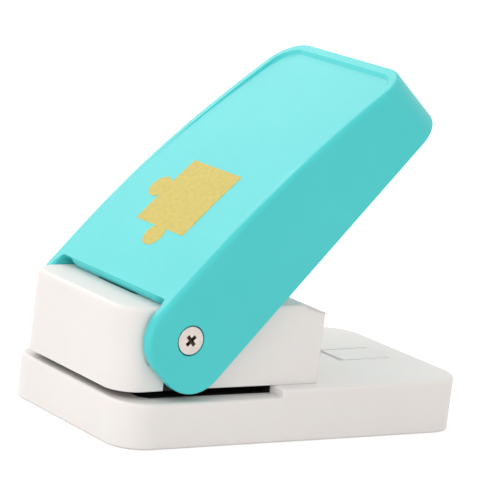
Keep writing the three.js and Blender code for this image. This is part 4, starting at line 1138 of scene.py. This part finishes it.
def make_foil():
    """The gold figure on the panel: a square jigsaw piece with two knobs, thin as foil."""
    figure = jigsaw("figure", FOIL_PLACE, *FOIL_FIGURE, 0, FAR)
    bevel(figure, lambda e: along(e, "Z") and not e.is_convex and turn_of(e) > 20, FOIL_NECK, steps=3)
    low = (-FOIL_SHEET_HALF, FOIL_SHEET_START, LEVER_TOP - FOIL_SUNK)
    sheet = block("foil_figure", low, (FOIL_SHEET_HALF, FOIL_SHEET_END, LEVER_TOP + FOIL_PROUD))
    score(sheet, "Y", bend_places(BEND_START, FOIL_SHEET_END, 1))
    sink(sheet, lambda p: True, lambda p: arc_drop(p, PANEL_FLOOR_ARC))
    combine(sheet, figure, "INTERSECT")
    coat(sheet, foil)
    raise_lever(sheet)
    smooth(sheet, angle=30)
    hand_over(sheet, "lever", "turquoise_plastic")


# ---------- screws, roller, springs, plunger ----------

def cross_tool(place, depth_from, depth_to):
    """A tapered cross that is pressed into a screw head along X."""
    tool = None
    for quarter in (0, 1):
        arm = block("cross_arm", (0, -CROSS_SPAN / 2, -CROSS_WIDTH / 2), (1, CROSS_SPAN / 2, CROSS_WIDTH / 2))
        open_mesh(arm)
        pick(arm, "VERT", lambda v: middle(v).x < 0.5)
        bpy.ops.transform.resize(value=CROSS_TAPER, center_override=(0, 0, 0))
        close_mesh()
        hold(arm)
        arm.scale.x = depth_to - depth_from
        arm.rotation_euler.x = CROSS_TURN + quarter * QUARTER_TURN
        bpy.ops.object.transform_apply(location=True, rotation=True, scale=True)
        if tool:
            combine(tool, arm, "UNION")
        else:
            tool = arm
    settle(tool, place=(depth_from, place[1], place[2]))
    return tool


def make_pivot_screw(word, side):
    """Flat head flush in the cheek, a shoulder that the lever turns on, and a thread in the hub."""
    face = LEVER_HALF
    screw = rod("pivot_screw_looks", "X", PIVOT, SCREW_HEAD, face - SCREW_HEAD_LENGTH, face, sides=64)
    bevel(screw, lambda e: sharp(e) and middle(e).x > face - NEAR, SCREW_HEAD_ROUND, steps=3)
    open_mesh(screw)
    pick(screw, "FACE", lambda f: faces(f, "X", -1))
    for narrower, length in SCREW_STEPS:
        inset(narrower)
        extrude(x=-length)
    close_mesh()
    coat(screw, screw_plate)
    tool = cross_tool(PIVOT, face - CROSS_DEPTH, face + CROSS_PROUD)
    # The walls that the cross cuts take the dark painted-shade steel.
    coat(tool, recess_painted_shade)
    combine(screw, tool)
    soften(screw, SCREW_EDGE, angle=40)
    if side < 0:
        open_mesh(screw)
        bpy.ops.mesh.select_all(action="SELECT")
        bpy.ops.transform.resize(value=(-1, 1, 1), center_override=(0, 0, 0))
        bpy.ops.mesh.normals_make_consistent(inside=False)
        close_mesh()
    screw.name = f"pivot_screw_{word}_looks"
    smooth(screw)
    hand_over(screw, "base", "steel", f"pivot_screw_{word}")


def make_roller():
    """The roller that presses the plunger down, and its pin in the press arms."""
    place = (0, *ROLLER)
    roller = rod("press_roller_looks", "X", place, ROLLER_RADIUS, -ROLLER_HALF, ROLLER_HALF, sides=64)
    combine(roller, rod("bore", "X", place, PIN_BORE, -PIN_BORE_HALF, PIN_BORE_HALF, sides=40))
    pin = rod("roller_pin_looks", "X", place, PIN_RADIUS, -PIN_HALF, PIN_HALF, sides=40)
    for piece, edge, body, node in (
        (roller, ROLLER_EDGE, "roller", "press_roller"), (pin, PIN_EDGE, "lever", "roller_pin")
    ):
        soften(piece, edge, steps=3)
        coat(piece, steel_turned)
        raise_lever(piece)
        smooth(piece)
        hand_over(piece, body, "steel", node)


def make_spring(word, side):
    """A coil of round wire, wound by the screw modifier about its own axis."""
    length = SPRING_HIGH - SPRING_LOW
    bpy.ops.object.select_all(action="DESELECT")
    bpy.ops.mesh.primitive_circle_add(
        vertices=12,
        radius=SPRING_WIRE * MM,
        location=(SPRING_RADIUS * MM, 0, 0),
        rotation=(QUARTER_TURN, 0, 0),
    )
    spring = bpy.context.object
    spring.name = f"return_spring_{word}_looks"
    bpy.ops.object.transform_apply(location=True, rotation=True, scale=True)
    pitch = (length - 2 * SPRING_WIRE) / SPRING_TURNS * MM
    change(spring, "SCREW", axis="Z", steps=28, render_steps=28, screw_offset=pitch, iterations=SPRING_TURNS)
    open_mesh(spring)
    bpy.ops.mesh.select_all(action="SELECT")
    bpy.ops.mesh.remove_doubles(threshold=WELD / 2 * MM)
    pick(spring, "EDGE", lambda e: e.is_boundary)
    bpy.ops.mesh.edge_face_add()
    bpy.ops.mesh.select_all(action="SELECT")
    bpy.ops.mesh.normals_make_consistent(inside=False)
    close_mesh()
    coat(spring, spring_steel)
    smooth(spring)
    low = SPRING_LOW
    settle(spring, place=(side * SPRING_X, SPRING_Y, low + SPRING_WIRE))
    hand_over(spring, "base", "steel", f"return_spring_{word}")
    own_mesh(spring)


for make in (make_base, make_die_plate, make_latch, make_bottom_cover, make_feet, make_head):
    make()
for make in (make_lever, make_foil, make_roller):
    make()
for word, side in (("left", -1), ("right", 1)):
    make_pivot_screw(word, side)
    make_spring(word, side)

dress("punch_frame", black_metal)
for node in ("plunger", "cutter"):
    dress(node, steel_flat)
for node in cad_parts:
    if "_screw_" in node and not node.startswith("pivot"):
        dress(node, steel_turned)


# ---------- camera, floor and lights ----------

def make_camera():
    """The camera that was fitted to the photograph, rolled about its own view."""
    camera = bpy.data.objects.new("camera", bpy.data.cameras.new("camera"))
    bpy.context.collection.objects.link(camera)
    camera.data.sensor_width = CAMERA_SENSOR
    camera.data.lens = CAMERA_LENS
    camera.data.clip_start = 0.01
    flat, rise = math.cos(CAMERA_ELEVATION), math.sin(CAMERA_ELEVATION)
    back = Vector((math.sin(CAMERA_AZIMUTH) * flat, -math.cos(CAMERA_AZIMUTH) * flat, rise))
    right = Vector((0, 0, 1)).cross(back).normalized()
    up = back.cross(right)
    turn = Matrix((right, up, back)).transposed() @ Matrix.Rotation(CAMERA_ROLL, 3, "Z")
    place = (Vector(CAMERA_TARGET) + back * CAMERA_DISTANCE) * MM
    camera.matrix_world = Matrix.Translation(place) @ turn.to_4x4()
    bpy.context.scene.camera = camera


def make_lamp(name, place, size, power, colour):
    """A soft rectangular lamp that looks at the punch."""
    lamp = bpy.data.objects.new(name, bpy.data.lights.new(name, "AREA"))
    bpy.context.collection.objects.link(lamp)
    lamp.data.shape = "RECTANGLE"
    lamp.data.size, lamp.data.size_y = size
    lamp.data.energy = power
    lamp.data.color = colour
    lamp.location = place
    lamp.rotation_euler = (Vector(LAMP_AIM) - Vector(place)).to_track_quat("-Z", "Y").to_euler()


def seen_by(tree):
    """One for rays from the camera and for rays that a shiny or clear surface sends on."""
    path = tree.nodes.new("ShaderNodeLightPath")
    seen = path.outputs["Is Camera Ray"]
    for ray in ("Is Glossy Ray", "Is Transmission Ray"):
        either = tree.nodes.new("ShaderNodeMath")
        either.operation = "MAXIMUM"
        tree.links.new(seen, either.inputs[0])
        tree.links.new(path.outputs[ray], either.inputs[1])
        seen = either.outputs[0]
    return seen


def make_world():
    """An even studio light, which is seen as plain white."""
    world = bpy.data.worlds.new("studio")
    bpy.context.scene.world = world
    world.use_nodes = True
    tree = world.node_tree
    tree.nodes.clear()
    out = tree.nodes.new("ShaderNodeOutputWorld")
    mix = tree.nodes.new("ShaderNodeMixShader")
    light = tree.nodes.new("ShaderNodeBackground")
    light.inputs["Color"].default_value = (*WORLD_COLOUR, 1)
    light.inputs["Strength"].default_value = WORLD_STRENGTH
    seen = tree.nodes.new("ShaderNodeBackground")
    seen.inputs["Color"].default_value = (1, 1, 1, 1)
    tree.links.new(seen_by(tree), mix.inputs["Fac"])
    tree.links.new(light.outputs[0], mix.inputs[1])
    tree.links.new(seen.outputs[0], mix.inputs[2])
    tree.links.new(mix.outputs[0], out.inputs["Surface"])


def make_floor():
    """A pale table top. What the camera sees of it is lifted to white, and the shadow stays."""
    bpy.ops.object.select_all(action="DESELECT")
    bpy.ops.mesh.primitive_plane_add(size=TABLE_SIZE, location=(0, 0, 0))
    floor = bpy.context.object
    floor.name = "floor"
    material, tree, shader, _ = new_finish("floor_finish")
    shader.inputs["Base Color"].default_value = (*TABLE_COLOUR, 1)
    shader.inputs["Roughness"].default_value = 0.9
    shader.inputs["Specular IOR Level"].default_value = 0.1
    lift = tree.nodes.new("ShaderNodeEmission")
    lift.inputs["Color"].default_value = (1, 1, 1, 1)
    add = tree.nodes.new("ShaderNodeAddShader")
    strength = tree.nodes.new("ShaderNodeMath")
    strength.operation = "MULTIPLY"
    strength.inputs[1].default_value = TABLE_LIFT
    tree.links.new(seen_by(tree), strength.inputs[0])
    tree.links.new(strength.outputs[0], lift.inputs["Strength"])
    tree.links.new(shader.outputs[0], add.inputs[0])
    tree.links.new(lift.outputs[0], add.inputs[1])
    tree.links.new(add.outputs[0], tree.nodes["Material Output"].inputs["Surface"])
    floor.data.materials.append(material)


make_camera()
make_floor()
make_world()
for lamp in LAMPS:
    make_lamp(*lamp)
bpy.context.scene.view_settings.view_transform = "Standard"
